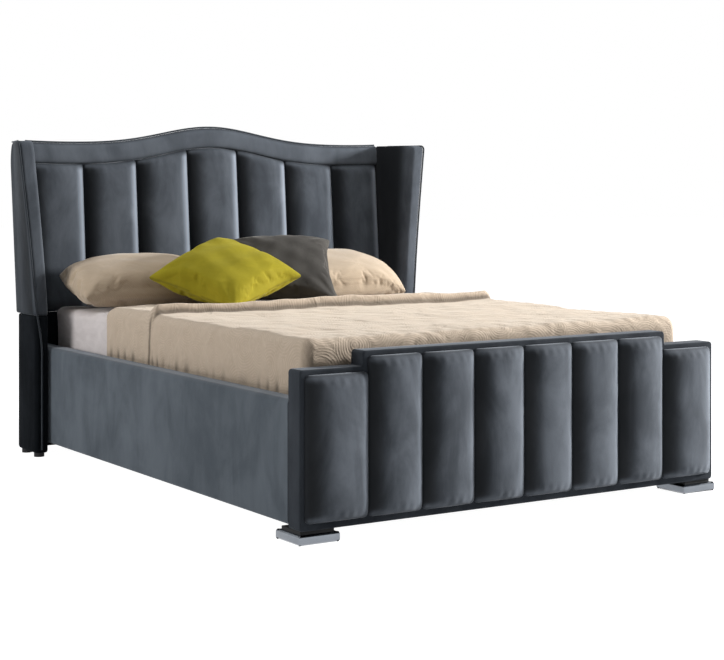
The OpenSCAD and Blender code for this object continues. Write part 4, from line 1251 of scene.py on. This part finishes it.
@dataclass
class Wing(Assembly):
    """One wing: a padded upper part that flares outwards, an upright base, and piping down its front."""

    inner: float = 0.834
    thick: float = 0.055
    depth: float = 0.171
    flare: float = 0.057
    swell: float = 0.008
    z0: float = 0.016
    top: float = 1.227
    edge: float = 0.016
    corner: float = 0.022
    round_l: float = 0.040
    round_h: float = 0.110
    lean: float = 0.016
    pads: float = 0.032
    over: float = 0.012
    base_back: float = 0.018
    piping: float = 0.0035

    def rise(self, z: Array) -> Array:
        """0 at the split between the upper and the lower part, and 1 at the top."""
        return np.maximum(0.0, z - BED.split_z) / (self.top - BED.split_z)

    def front(self, z: Array) -> Array:
        """Front edge at height z: it leans back a little towards the top."""
        return BED.head_face - self.depth + self.lean * self.rise(z)

    def flare_at(self, z: Array) -> Array:
        """Outward flare of the front edge at height z."""
        return self.flare * self.rise(z) ** 1.25

    def outer(self, z: Array) -> Array:
        """Outer face at height z, behind the flare."""
        return self.inner + self.thick + self.swell * self.rise(z)

    def hinge(self, z: Array, back: Array) -> Array:
        """Line where the flare starts: level with the channels, and always in front of the back edge."""
        return np.minimum(BED.panel_y(z) - self.pads, back - self.edge - 0.002)

    def bend(self, z: Array, y: Array) -> Array:
        """Outward shift at height z and at y: it grows evenly from the hinge line to the front edge."""
        hinge = BED.panel_y(z) - self.pads
        return self.flare_at(z) * np.maximum(0.0, (hinge - y) / (hinge - self.front(z)))

    def corner_in(self, z: Array, length: float, height: float) -> Array:
        """How far an upper corner has closed in at height z, on a quarter of an ellipse."""
        rise = np.clip((np.minimum(z, self.top - 0.003) - (self.top - height)) / height, 0.0, 1.0)
        return length * (1.0 - np.sqrt(1.0 - rise**2))

    def ring(self, z: Array, front: Array, back: Array, flare: Array, inset: Array, hinge: Array) -> Array:
        """Rounded outlines at each height, bent outwards in front of the hinge line.

        Args:
            z: heights, m of them.
            front: front limits.
            back: back limits.
            flare: outward shift of the front edge.
            inset: how far the outline is drawn in.
            hinge: where the bend starts.

        Returns:
            m rings of points.
        """
        r, turn = self.edge, np.linspace(0.0, QUARTER, 9)
        one = np.ones((len(z), 1))
        xi, xo = self.inner + 0.2 * inset[:, None], self.outer(z)[:, None] - inset[:, None]
        yf, yb = front[:, None] + inset[:, None], back[:, None] - inset[:, None]
        c, s = np.cos(turn)[None], np.sin(turn)[None]
        reach = np.linspace(0.0, 1.0, 15)[None, 1:-1]
        near, far, soft = yf + r, yb - r, 0.004
        bulge = 0.004 * np.sin(reach * math.pi) ** 0.7
        places = [
            (xi + r - r * c, yf + r - r * s),
            (xo - r + r * s, yf + r - r * c),
            (xo + bulge, near + (far - near) * reach),
            (xo - r + r * c, yb - r + r * s),
            (xi + soft - soft * s, yb - soft + soft * c),
            (xi + 0.0 * reach, yb - soft + (near - yb + soft) * reach),
        ]
        xs = np.concatenate([x * one for x, _ in places], axis=1)
        ys = np.concatenate([y * one for _, y in places], axis=1)
        bend = flare[:, None] * np.maximum(0.0, (hinge[:, None] - ys) / (hinge[:, None] - yf))
        return np.stack([xs + bend, ys, np.broadcast_to(z[:, None], xs.shape)], axis=-1)

    def upper(self) -> Solid:
        """The flared upper part: rounded outlines stacked from the split to the top.

        The flare grows with height to the power 1.25, and a quarter circle rounds the top edge over. Painted
        shade darkens both faces towards the back, most of all the inner one, and the split; a faint painted
        highlight lightens the front edge.

        Returns:
            The right wing's upper part.
        """
        r, rows = self.over, 70
        low, low_inset = np.array([0.0, 0.0012, 0.004]), np.array([0.004, 0.0014, 0.0004])
        turn = np.linspace(0.0, QUARTER, 8)[1:]
        straight = np.linspace(BED.split_z + 0.008, self.top - r, rows)
        z = np.concatenate([BED.split_z + low, straight, self.top - r + r * np.sin(turn)])
        inset = np.concatenate([low_inset, np.zeros(rows), r * (1.0 - np.cos(turn)) * 0.92])
        front = self.front(z) + self.corner_in(z, self.corner, self.corner)
        back = BED.panel_back(z) - self.corner_in(z, self.round_l, self.round_h)
        made = Solid.stack(self.ring(z, front, back, self.flare_at(z), inset, self.hinge(z, back)))
        x, y, z = made.points.T
        # painted shade at the split between the upper part and the base
        made.values["seam"] = bell(z - BED.split_z, 0.006)
        back = y - self.front(z)
        outside = x - self.bend(z, y) > self.inner + self.thick / 2.0
        # painted light: painted shade towards the back of both faces, a faint painted highlight on the front
        # edge
        inward = 0.08 - 1.05 * smooth(back, 0.0, 0.095)
        rounding = smooth(back, self.edge * 0.5, self.edge * 1.4)
        outward = 0.12 - 0.95 * rounding + 0.28 * smooth(back, 0.05, 0.13)
        made.values["painted_light"] = np.where(outside, outward, inward)
        made.values["streaked_painted_light"] = np.ones(len(made.points))
        return made

    def base(self) -> Solid:
        """The upright lower part: the same outline, unbent, stacked from the floor gap to the split.

        Returns:
            The right wing's lower part.
        """
        high, rows = BED.split_z - 0.002, 12
        foot, head = np.array([0.0, 0.002, 0.006, 0.012]), np.array([0.008, 0.003, 0.001, 0.0])
        z = np.concatenate([self.z0 + foot, np.linspace(0.06, 0.50, rows), high - head])
        inset = np.concatenate([[0.010, 0.005, 0.0015, 0.0], np.zeros(rows), [0.0, 0.0008, 0.0022, 0.004]])
        hinge = np.full_like(z, BED.head_face)
        front, back = hinge - self.depth, hinge + self.base_back
        return Solid.stack(self.ring(z, front, back, np.zeros_like(z), inset, hinge))

    def piping_route(self) -> Array:
        """Route of the piping.

        It climbs the base's front face, slants to the upper part's outer corner, follows that corner to the
        top, goes over it on a quarter circle and runs back along the top.

        Returns:
            Points along the right wing, n by 3.
        """
        pipe = self.piping + CLEAR
        low, high, corner = 0.400, 0.610, self.top - self.corner
        slant = np.linspace(low + 0.010, high, 14)
        z = np.concatenate([np.linspace(0.030, low, 12), slant, np.linspace(high + 0.03, corner, 30)])
        start, reach = self.inner + 0.030, self.edge + pipe
        outer = self.outer(z) - self.edge + reach * math.sin(QUARTER / 2.0)
        x = start + (outer - start) * smooth(z, low, high)
        past = np.maximum(0.0, x - (self.outer(z) - self.edge))
        y = self.front(z) + self.edge - np.sqrt(reach**2 - past**2)
        rising = np.stack([x + self.bend(z, y), y, z], axis=1)
        # round the upper front corner, where the edge's rounding eases from one radius to the other
        turn = np.linspace(0.0, QUARTER, 12)[1:]
        edge = self.edge + (self.over - self.edge) * turn / QUARTER
        lift = self.corner - edge + (edge + pipe) * math.cos(QUARTER / 2.0)
        y = self.front(z[-1]) + self.corner - lift * np.cos(turn)
        z = corner + lift * np.sin(turn)
        x = self.outer(z) - edge + (edge + pipe) * math.sin(QUARTER / 2.0)
        over = np.stack([x + self.bend(z, y), y, z], axis=1)
        y = np.linspace(y[-1] + 0.008, BED.panel_back(np.array(self.top)) - self.round_l, 14)
        height, wide = np.full_like(y, z[-1]), np.full_like(y, x[-1])
        back = np.stack([wide + self.bend(height, y), y, height], axis=1)
        return np.concatenate([rising, over, back])

    def build(self) -> None:
        """Makes both wings, their bases and the piping."""
        upper, base = self.upper(), self.base()
        for side, flip in (("right", False), ("left", True)):
            for part, name, finish in (
                (upper, "wing", Finishes.VELVET_HEAD_PAINTED_SHADE),
                (base, "wing_base", Finishes.VELVET_DEEP_PAINTED_SHADE),
            ):
                solid = part.mirrored() if flip else part
                self.upholster(solid, f"{name}_cover_{side}", finish, f"{name}_{side}")
        pipe = Solid.tube(self.piping_route(), self.piping, (1.0, 0.0, 0.0))
        self.place(pipe.pair(), "wing_piping_cord", Finishes.VELVET_CORD_PAINTED_SHADE, "wing_piping")


@dataclass
class Frame(Assembly):
    """Side rails, feet, storage floor and the fixed steel parts."""

    foot_w: float = 0.142
    foot_d: float = 0.138
    foot_proud: float = 0.005
    foot_h: float = 0.030
    foot_slant: float = 0.006
    foot_mitre: float = 0.0012
    foot_ease: float = 0.0008

    def plinth(self) -> Solid:
        """Chrome tier with slanted edges: a mitred outline stacked through rings that ease every edge.

        Returns:
            The right foot's tier.
        """
        x1, y0 = BED.rail_half + self.foot_proud, BED.foot_face - self.foot_proud
        x0, y1, r = x1 - self.foot_w, y0 + self.foot_d, self.foot_mitre
        points, inward = outline([(x0, y0, r), (x1, y0, r), (x1, y1, r), (x0, y1, r)], steps=4)
        cut, ease, step = self.foot_slant, self.foot_ease, 0.0003
        half = [(0.0, cut + ease), (step, cut), (cut - ease, step), (cut + ease, 0.0)]
        profile = half + [(self.foot_h - z, inset) for z, inset in reversed(half)]
        z, inset = (np.array(column) for column in zip(*profile))
        return Solid.stack(rings(points, inward, inset, z))

    def build(self) -> None:
        """Makes the feet and dresses the rest."""
        self.place(self.plinth().pair(), "chrome_feet", Finishes.CHROME, "front_feet", crease=25.0)
        self.dress(Finishes.VELVET_RAIL_PAINTED_LIGHT, "side_rail_left", "side_rail_right")
        self.dress(Finishes.GREY, "corner_brackets", "lift_base_left", "lift_base_right")
        self.dress(Finishes.ZINC, "corner_bolts")
        self.dress(Finishes.PINE, "floor_battens", "centre_floor_rail", "platform_rests")
        self.dress(Finishes.LINING, "storage_floor")
        self.dress(Finishes.PLASTIC, "centre_rail_feet", "front_foot_collars")


@dataclass
class Lift(Assembly):
    """Arms and gas struts, dressed as plated and painted steel."""

    def build(self) -> None:
        """Dresses the moving steel."""
        self.dress(Finishes.ZINC, "front_arm_left", "front_arm_right", "rear_arm_left", "rear_arm_right")
        self.dress(Finishes.GLOSS_BLACK, "strut_cylinders")
        self.dress(Finishes.ROD, "strut_rods")


@dataclass
class Platform(Assembly):
    """The rising deck: steel tube, slats in caps, retainer and pull strap."""

    body: str = "platform"

    def build(self) -> None:
        """Dresses the deck."""
        self.dress(Finishes.GREY, "lift_brackets", "platform_side_bars", "platform_cross_bars")
        self.dress(Finishes.GREY, "platform_centre_bar", "mattress_retainer")
        self.dress(Finishes.ZINC, "platform_bolts")
        self.dress(Finishes.BEECH, "slats")
        self.dress(Finishes.PLASTIC, "slat_caps")
        self.dress(Finishes.WEBBING, "pull_strap")


@dataclass
class Cushion:
    """A filled cushion, its place on the bed and what it rests on.

    It stands up and down from its seam. Turn is its turn in plan, lean its slope back towards the
    headboard and spin its turn in its own plane, in degrees. Plump rounds off its corners.
    """

    width: float
    depth: float
    up: float
    down: float
    middle: Triple
    turn: float
    lean: float
    rest: float
    spin: float = 0.0
    pull: float = 0.05
    plump: float = 0.0
    seed: int = 1
    crease: float = 0.0035
    rim: float = 0.0018
    steps: int = 81
    full: float = 2.6
    settle: float = 0.010

    def flat(self, shrink: float = 1.0) -> Solid:
        """Two crowned faces that meet in a thin seam, in the cushion's own plane.

        Each face's height is ((1 - |a|^full)(1 - |b|^full)) to the power 0.6. The sides draw in between the
        corners, and creases fan out from each corner and run in from the seams.

        Args:
            shrink: share of the full size, less than 1 for a cushion that is still to be filled.

        Returns:
            The closed solid.
        """
        a, b = grid(spread(self.steps, 0.8), spread(self.steps, 0.8))
        half_w, half_d = self.width / 2.0 * shrink, self.depth / 2.0 * shrink
        x = a * half_w * (1.0 - self.pull * (1.0 - b * b)) * np.sqrt(1.0 - self.plump * b * b / 2.0)
        y = b * half_d * (1.0 - self.pull * (1.0 - a * a)) * np.sqrt(1.0 - self.plump * a * a / 2.0)
        fill = np.maximum(0.0, (1.0 - np.abs(a) ** self.full) * (1.0 - np.abs(b) ** self.full)) ** 0.6
        faces = []
        for side, high in ((1.0, self.up), (-1.0, self.down)):
            chance = np.random.default_rng(self.seed + (7 if side > 0 else 0))
            crease = np.zeros_like(a)
            for sa in (-1.0, 1.0):
                for sb in (-1.0, 1.0):
                    angle = np.arctan2(1.0 - sb * b, 1.0 - sa * a)
                    reach = np.hypot(1.0 - sa * a, 1.0 - sb * b)
                    waves = np.sin(angle * 2.0 * chance.integers(5, 8) + chance.uniform(0, PHASE))
                    crease += waves * bell(reach - 0.42, 0.26)
            edge = np.minimum(1.0 - np.abs(a), 1.0 - np.abs(b))
            along = np.where(np.abs(a) > np.abs(b), y, x)
            pucker = wave(along, 0.05, chance.uniform(0, PHASE)) * bell(edge, 0.10) * 0.35
            slack = ripples(x, y, self.seed + (3 if side > 0 else 5), 0.13) * 0.6
            relief = self.crease * (crease + pucker + slack) * np.minimum(1.0, fill * 1.6)
            height = np.maximum(0.0, high * shrink * fill + relief)
            faces.append(np.stack([x, y, side * (self.rim + height)], axis=-1))
        return Solid.skin(*faces)

    def solid(self) -> Solid:
        """The filled cushion on the bed, with its cloth coordinates and painted shade along its seam.

        What would lie lower than its rest is eased up to it: the height above the rest becomes settle times
        the logarithm of 1 plus e to the power of height over settle.

        Returns:
            The cushion, in its place.
        """
        made = self.filled()
        flat = made.points.copy()
        made.uv = flat[:, :2] + np.array([3.1 * self.seed, 0.0])
        ends = np.abs(flat[:, :2]) / np.array([self.width, self.depth]) * 2.0
        # painted shade along the seam where the two faces meet
        made.values["seam"] = bell(flat[:, 2], 0.004) * (ends.max(axis=1) > 0.8) * 0.5
        made.points = self.laid(flat)
        above = (made.points[:, 2] - self.rest) / self.settle
        rim = np.where(flat[:, 2] > 0.0, 0.002, -0.002)
        made.points[:, 2] = self.rest + self.settle * np.logaddexp(0.0, above) + rim
        return made

    def filled(self, pressure: float = 4.0, most: float = 0.024, frames: int = 20) -> Solid:
        """Fills the cushion: its cloth swells under pressure, no point further than a set reach.

        Args:
            pressure: pressure of the filling.
            most: furthest that a point moves.
            frames: steps of the simulation.

        Returns:
            The filled solid, in the cushion's own plane.
        """
        scene = bpy.context.scene
        start = self.flat(0.95).build("filling", Finishes.SHEET)
        remesh = start.modifiers.new("remesh", "REMESH")
        remesh.mode, remesh.voxel_size = "VOXEL", 0.006
        mesh = bpy.data.meshes.new_from_object(start.evaluated_get(bpy.context.evaluated_depsgraph_get()))
        piece = linked("filling_cloth", mesh)
        before = self._points(mesh)
        cloth = piece.modifiers.new("cloth", "CLOTH")
        cloth.settings.quality = 4
        cloth.settings.use_pressure = True
        cloth.settings.uniform_pressure_force = pressure
        cloth.settings.effector_weights.gravity = 0.0
        cloth.settings.tension_stiffness = cloth.settings.compression_stiffness = 12.0
        cloth.settings.bending_stiffness = 0.3
        cloth.point_cache.frame_start, cloth.point_cache.frame_end = 1, frames
        for frame in range(1, frames + 1):
            scene.frame_set(frame)
        after = self._points(piece.evaluated_get(bpy.context.evaluated_depsgraph_get()).data)
        scene.frame_set(1)
        step = after - before
        step -= step.mean(axis=0)
        reach = np.linalg.norm(step, axis=1, keepdims=True)
        points = before + step * np.minimum(1.0, most / np.maximum(reach, 1e-9))
        quads = [list(face.vertices) for face in mesh.polygons]
        for old in (start, piece):
            data = old.data
            bpy.data.objects.remove(old)
            bpy.data.meshes.remove(data)
        log.info("cushion %d: %d points, moved up to %.1f mm", self.seed, len(points), 1000 * reach.max())
        return Solid(points, np.array([q if len(q) == 4 else [*q, q[-1]] for q in quads]))

    @staticmethod
    def _points(mesh: bpy.types.Mesh) -> Array:
        """A mesh's points, n by 3."""
        found = np.zeros(len(mesh.vertices) * 3)
        mesh.vertices.foreach_get("co", found)
        return found.reshape(-1, 3)

    def laid(self, points: Array) -> Array:
        """Spins, leans, turns and moves points from the cushion's own plane to the bed.

        Args:
            points: points in the cushion's own plane, n by 3.

        Returns:
            The points on the bed.
        """

        def turned(angle: float, i: int, j: int) -> Array:
            """Rotation by an angle in the plane of two axes.

            Args:
                angle: angle in degrees.
                i: first axis.
                j: second axis.

            Returns:
                The matrix.
            """
            m = np.eye(3)
            c, s = math.cos(math.radians(angle)), math.sin(math.radians(angle))
            m[i, i], m[i, j], m[j, i], m[j, j] = c, -s, s, c
            return m

        whole = turned(-self.turn, 0, 1) @ turned(self.lean, 1, 2) @ turned(self.spin, 0, 1)
        return points @ whole.T + np.array(self.middle)


@dataclass
class Bedding(Assembly):
    """Mattress in its sheet, quilted bedspread, two pillows and two scatter cushions."""

    body: str = "platform"
    mattress_corner: float = 0.044
    mattress_edge: float = 0.030
    mattress_waist: float = 0.004
    spread_t: float = 0.026
    spread_side: float = 0.005
    round_r: float = 0.034
    hem_side: float = 0.418
    hem_foot: float = 0.436
    spread_end: float = 0.4576
    flap_hem: float = 0.0876
    rail_line: float = 0.442
    flap_t: float = 0.006
    flap_h: float = 0.036

    def mattress(self) -> Solid:
        """Rounded block: a rounded outline stacked through heights, drawn in at its edges and its waist.

        Returns:
            The mattress.
        """
        half, r = BED.mattress_half, self.mattress_corner
        foot, head = BED.mattress_foot, BED.mattress_head
        corners = [(-half, foot, r), (half, foot, r), (half, head, r), (-half, head, r)]
        points, inward = self._denser(*outline(corners, steps=13), 0.02)
        turn = np.linspace(0.0, QUARTER, 10)
        edge, high = self.mattress_edge, BED.mattress_top - BED.mattress_z0
        side = np.linspace(edge, high - edge, 16)[1:-1]
        up = np.concatenate([edge * (1.0 - np.cos(turn)), side, high - edge * (1.0 - np.sin(turn))])
        waist = self.mattress_waist * np.sin((side - edge) / (high - 2 * edge) * math.pi)
        inset = np.concatenate([edge * (1.0 - np.sin(turn)), waist, edge * (1.0 - np.cos(turn))])
        made = rings(points, inward, inset, BED.mattress_z0 + up)
        gaps = np.linalg.norm(np.diff(points, axis=0, append=points[:1]), axis=1)
        height, run = grid(up, np.cumsum(gaps))
        slack = 0.0014 + ripples(run, height * 1.7, 5, 0.19) * 0.0014
        fade = np.sin(np.clip(up / high, 0, 1) * math.pi)[:, None]
        made[..., :2] += (np.maximum(0.0, slack) * fade)[..., None] * inward[None]
        return Solid.stack(made)

    @staticmethod
    def _denser(points: Array, inward: Array, step: float) -> tuple[Array, Array]:
        """Adds points to the long sides of an outline.

        Args:
            points: the outline, n by 2.
            inward: its normals.
            step: widest gap between two points.

        Returns:
            The denser outline and its normals.
        """
        after_p, after_n = np.roll(points, -1, axis=0), np.roll(inward, -1, axis=0)
        gaps = np.linalg.norm(after_p - points, axis=1)
        counts = np.maximum(1, np.ceil(gaps / step).astype(int))
        part = np.concatenate([np.arange(c) / c for c in counts])[:, None]
        start = np.repeat(np.arange(len(points)), counts)
        mixed = inward[start] + (after_n[start] - inward[start]) * part
        normals = mixed / np.linalg.norm(mixed, axis=1, keepdims=True)
        return points[start] + (after_p[start] - points[start]) * part, normals

    def bedspread(self) -> Solid:
        """Quilt over the mattress: a flat middle, quarter-round edges and straight drops on three sides.

        u runs across from hem to hem, v from the foot's hem to the head end. The upper end is turned back
        over itself: its hem makes a soft roll across the bed, and its sides lie over the drops.

        Returns:
            The bedspread, with its cloth coordinates and its painted shade.
        """
        top = BED.mattress_top + CLEAR + self.spread_t
        r = self.round_r
        half = BED.mattress_half + CLEAR + self.spread_side - r
        foot = BED.mattress_foot - CLEAR - self.spread_side + r
        arc = r * QUARTER

        # the cloth's rows, closer together on the rounded edges and at the fold
        out_u, out_v = (
            np.concatenate([np.linspace(arc + top - r - end, arc, rows)[:-1], np.linspace(arc, 0.0, 7)[:-1]])
            for end, rows in ((self.hem_side, 17), (self.hem_foot, 12))
        )
        us = np.concatenate([-out_u, np.linspace(0.0, 2 * half, 141), 2 * half + out_u[::-1]])
        long, fold = self.spread_end - foot, self.flap_hem - foot
        along = np.concatenate([np.linspace(0.0, long, 171), np.linspace(fold - 0.032, fold + 0.050, 40)])
        u, v = grid(us, np.concatenate([out_v, -np.unique(along.round(6))]))

        # its way over the edges: p is the length past the flat top, turn the direction it hangs in
        a, b = np.maximum(0.0, np.maximum(-u, u - 2 * half)), np.maximum(0.0, v)
        p = np.maximum(a, b)
        x0 = np.clip(u - half, -half, half)
        y0 = foot - np.minimum(0.0, v)
        side = np.where(u < half, -1.0, 1.0)
        share = np.where(a >= b, b / np.maximum(a, 1e-9), 2.0 - a / np.maximum(b, 1e-9))
        turn = np.where(p <= 0.0, 0.0, QUARTER / 2.0 * share)
        bend = np.minimum(p / r, QUARTER)
        below = np.maximum(0.0, p - arc)
        flat = 1.0 - smooth(p, 0.0, arc)

        # the turned-back end, the swell of the filling and the gathers at the foot
        hem = self.flap_hem + 0.008 * np.sin(x0 * 4.1 + 0.6) + 0.003 * np.sin(x0 * 11.0 + 2.0)
        hem = hem + 0.012 * (x0 / half) ** 2
        ahead = y0 - hem
        sharp = ahead < 0.0
        roll = np.exp(-np.abs(ahead / np.where(sharp, 0.014, 0.032)) ** np.where(sharp, 3.0, 2.0))
        uneven = 1.0 + 0.10 * np.sin(x0 * 5.0 + 1.0) + 0.05 * np.sin(x0 * 17.0)
        behind = smooth(ahead, -0.004, 0.030) * (1.0 - smooth(y0, self.spread_end - 0.016, self.spread_end))
        swell = ripples(x0, y0, 21, 0.42) * 0.0028 + ripples(x0, y0, 22, 0.13) * 0.0014
        gathers = bell(y0 - foot, 0.10) * wave(x0, 0.052, 2.0 * np.sin(x0 * 9.0)) * 0.0014
        lift = self.flap_h * roll * uneven + self.flap_t * behind

        # the drops: soft waves, folds behind the rail's top, and the edge of the turned-back layer
        drape = (
            ripples(y0 + 0.3 * below, below * 0.35, 31, 0.24) * 0.0014
            + ripples(y0 - 0.2 * below, below, 33, 0.085) * 0.0009
            + wave(y0, 0.11, 3.0 * np.sin(y0 * 4.0)) * 0.0007
        ) * smooth(p, 0.0, arc * 1.5)
        height = top - r - below
        low = np.exp(-np.maximum(0.0, height - self.rail_line) / 0.024) * smooth(p, arc, arc * 1.4)
        folds = np.sin(FULL * y0 / 0.070 + 4.2 * np.sin(y0 * 5.3) + 2.2 * np.sin(y0 * 17.0))
        folds = folds * low * (0.65 + 0.35 * np.sin(y0 * 17.0 + 3.0 * np.sin(y0 * 6.1)))
        drape = drape + folds * 0.0016
        slant = 0.012 * below / 0.14
        step = smooth(y0 - (hem + slant), -0.003, 0.003)
        lap = np.clip(drape + 0.0034 * step - 0.0012, -0.0022, 0.0036) * (p > 0.0)
        loft = (swell + gathers) * flat

        def sheet(depth_side: float, depth_top: float, detail: float) -> Array:
            """The cloth's face at a depth under its outside.

            Args:
                depth_side: depth on the drops.
                depth_top: depth on the flat top.
                detail: share of the folds and swells that it shows.

            Returns:
                The points, a grid by 3.
            """
            reach = (r - depth_side) * np.sin(bend) + detail * lap * np.sin(bend)
            z = top - r + (r - depth_top) * np.cos(bend) - below
            z = z + detail * (loft + lift) * np.cos(bend) * (1.0 - 0.55 * smooth(p, 0.0, arc))
            return np.stack([x0 + side * reach * np.cos(turn), y0 - reach * np.sin(turn), z], axis=-1)

        made = Solid.skin(sheet(0.0, 0.0, 1.0), sheet(self.spread_side, self.spread_t, 0.0))
        cloth = np.stack([u, -v], axis=-1).reshape(-1, 2)
        made.uv = np.concatenate([cloth, cloth])

        # painted shade: a line at the turned-back layer's edge, a shadow under its roll, and the crumpled or
        # tucked drop
        gap = bell(y0 - hem - slant + 0.004, 0.0045) * smooth(p, 0.3 * arc, arc)
        under = bell(ahead + 0.017, 0.0055) * 1.2 * flat
        tucked = bell(height - self.rail_line + 0.014, 0.007) * 0.45
        crumple = (np.clip(-0.08 - folds, 0.0, 1.0) * low * 0.85 + tucked) * (1.0 - smooth(b, 0.0, 0.01))
        seam = np.minimum(1.0, gap + under + crumple)
        made.mark("seam", seam, np.zeros_like(seam))
        return made

    def cushions(self) -> list[tuple[str, Finish, Cushion]]:
        """The pillows and scatter cushions with their finishes.

        Returns:
            The name, finish and form of each.
        """
        sheet_z = BED.mattress_top + 0.0023
        spread_z = BED.mattress_top + self.spread_t + self.flap_t + 0.0048

        def at(x: float, u: float, z: float) -> Triple:
            """A place at x, at a distance from the lower headboard and at a height above the mattress."""
            return (x, BED.head_face - u, BED.mattress_top + z)

        pillow = {"width": 0.69, "depth": 0.44, "up": 0.095, "down": 0.035, "rest": sheet_z}
        pillow |= {"pull": 0.03, "plump": 0.35, "crease": 0.003}
        square = {"width": 0.465, "depth": 0.465, "up": 0.069, "down": 0.039, "rest": spread_z}
        left = Cushion(middle=at(-0.474, 0.250, 0.086), turn=6, lean=11, seed=3, **pillow)
        right = Cushion(middle=at(0.350, 0.300, 0.082), turn=2, lean=16, seed=4, **pillow)
        diamond = Cushion(middle=at(-0.272, 0.572, 0.130), turn=21, lean=26, spin=45, seed=5, **square)
        upright = Cushion(middle=at(0.033, 0.488, 0.130), turn=24, lean=36, seed=6, **square)
        return [
            ("pillow_left", Finishes.PILLOW, left),
            ("pillow_right", Finishes.PILLOW, right),
            ("diamond_cushion", Finishes.GREEN, diamond),
            ("square_cushion", Finishes.CHARCOAL, upright),
        ]

    def build(self) -> None:
        """Makes the soft pieces, and smooths the pillows and cushions."""
        mattress = self.place(self.mattress(), "mattress_in_sheet", Finishes.SHEET, "mattress", crease=80.0)
        quilt = self.place(self.bedspread(), "quilted_bedspread", Finishes.SPREAD, "bedspread", crease=80.0)
        stands = {
            "diamond_cushion": ["cushion_diamond"],
            "square_cushion": ["cushion_square"],
            "pillow_left": ["pillows"],
            "pillow_right": [],
        }
        for name, finish, cushion in self.cushions():
            piece = self.place(cushion.solid(), name, finish, *stands[name], crease=180.0)
            smoother = piece.modifiers.new("smoother", "SUBSURF")
            smoother.levels = smoother.render_levels = 1
            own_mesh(piece)


# Studio


@dataclass
class Studio:
    """Camera, lamps, world and floor."""

    place: Triple = (-3.3508, -5.3369, 1.0775)
    azimuth: float = 32.70
    lens: float = 83.89
    shift_y: float = -0.2081
    sky: float = 0.11
    floor_tone: float = 0.92
    floor_glow: float = 1.6
    floor_share: float = 0.62
    floor_reach: float = 30.0

    def camera(self) -> None:
        """The photograph's viewpoint: a level camera with its frame shifted down."""
        data = bpy.data.cameras.new("camera")
        data.sensor_width, data.lens, data.shift_y = 36.0, self.lens, self.shift_y
        data.clip_end = 60.0
        eye = linked("camera", data)
        eye.location = self.place
        eye.rotation_euler = (QUARTER, 0.0, -math.radians(self.azimuth))
        bpy.context.scene.camera = eye

    def lamp(self, name: str, at: Triple, to: Triple, size: tuple[float, float], power: float) -> None:
        """A soft rectangular lamp.

        Args:
            name: its name.
            at: where it stands.
            to: where it is aimed.
            size: width and height.
            power: power in watts.
        """
        data = bpy.data.lights.new(name, "AREA")
        data.shape, data.size, data.size_y, data.energy = "RECTANGLE", *size, power
        made = linked(name, data)
        ray = np.array(to) - np.array(at)
        made.location = at
        tip = math.acos(-ray[2] / np.linalg.norm(ray))
        made.rotation_euler = (tip, 0.0, math.atan2(ray[1], ray[0]) - QUARTER)

    def world(self) -> None:
        """Even grey light, and plain white where the camera, a mirror or glass sees past the object."""
        g = Graph("studio", world=True)
        white = (1.0, 1.0, 1.0, 1.0)
        soft = g.node("ShaderNodeBackground", None, {"Color": white, "Strength": self.sky})
        plain = g.node("ShaderNodeBackground", None, {"Color": white, "Strength": 1.0})
        bpy.context.scene.world = g.blend("ShaderNodeOutputWorld", g.seen(), soft, plain)

    def floor(self) -> None:
        """Plain pale floor that keeps a light shadow."""
        g = Graph("studio_floor")
        tone, far = self.floor_tone, self.floor_reach
        matt = g.node("ShaderNodeBsdfDiffuse", None, {"Color": (tone, tone, tone, 1.0)})
        glow = g.node("ShaderNodeEmission", None, {"Strength": self.floor_glow})
        mesh = bpy.data.meshes.new("floor")
        corners = [(-far, -far, 0.0), (far, -far, 0.0), (far, far, 0.0), (-far, far, 0.0)]
        mesh.from_pydata(corners, [], [(0, 1, 2, 3)])
        factor = g.seen() * self.floor_share
        mesh.materials.append(g.blend("ShaderNodeOutputMaterial", factor, matt, glow))
        linked("floor", mesh)

    def build(self) -> None:
        """Sets the view, the lamps, the world and the floor."""
        bpy.context.scene.view_settings.view_transform = "Standard"
        self.lamp("key", (6.4, -2.4, 2.4), (0.0, 0.1, 0.7), (0.7, 1.0), 920.0)
        self.lamp("front", (1.6, -6.5, 3.4), (0.0, -0.6, 0.4), (1.6, 1.6), 32.0)
        self.lamp("top", (0.2, 0.2, 4.2), (0.0, 0.0, 0.5), (2.4, 2.4), 70.0)
        self.lamp("side", (-6.0, 1.5, 1.6), (-0.6, 0.2, 0.4), (2.0, 2.0), 165.0)
        self.world()
        self.floor()


def main() -> None:
    """Loads the frame, sets the camera, builds every assembly in turn, and then the studio."""
    logging.basicConfig(level=logging.INFO, format="%(message)s")
    FRAME.update(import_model())
    studio = Studio()
    studio.camera()
    for assembly in (Footboard(), Headboard(), Wing(), Frame(), Lift(), Platform(), Bedding()):
        assembly.build()
    studio.build()


if __name__ == "__main__":
    main()
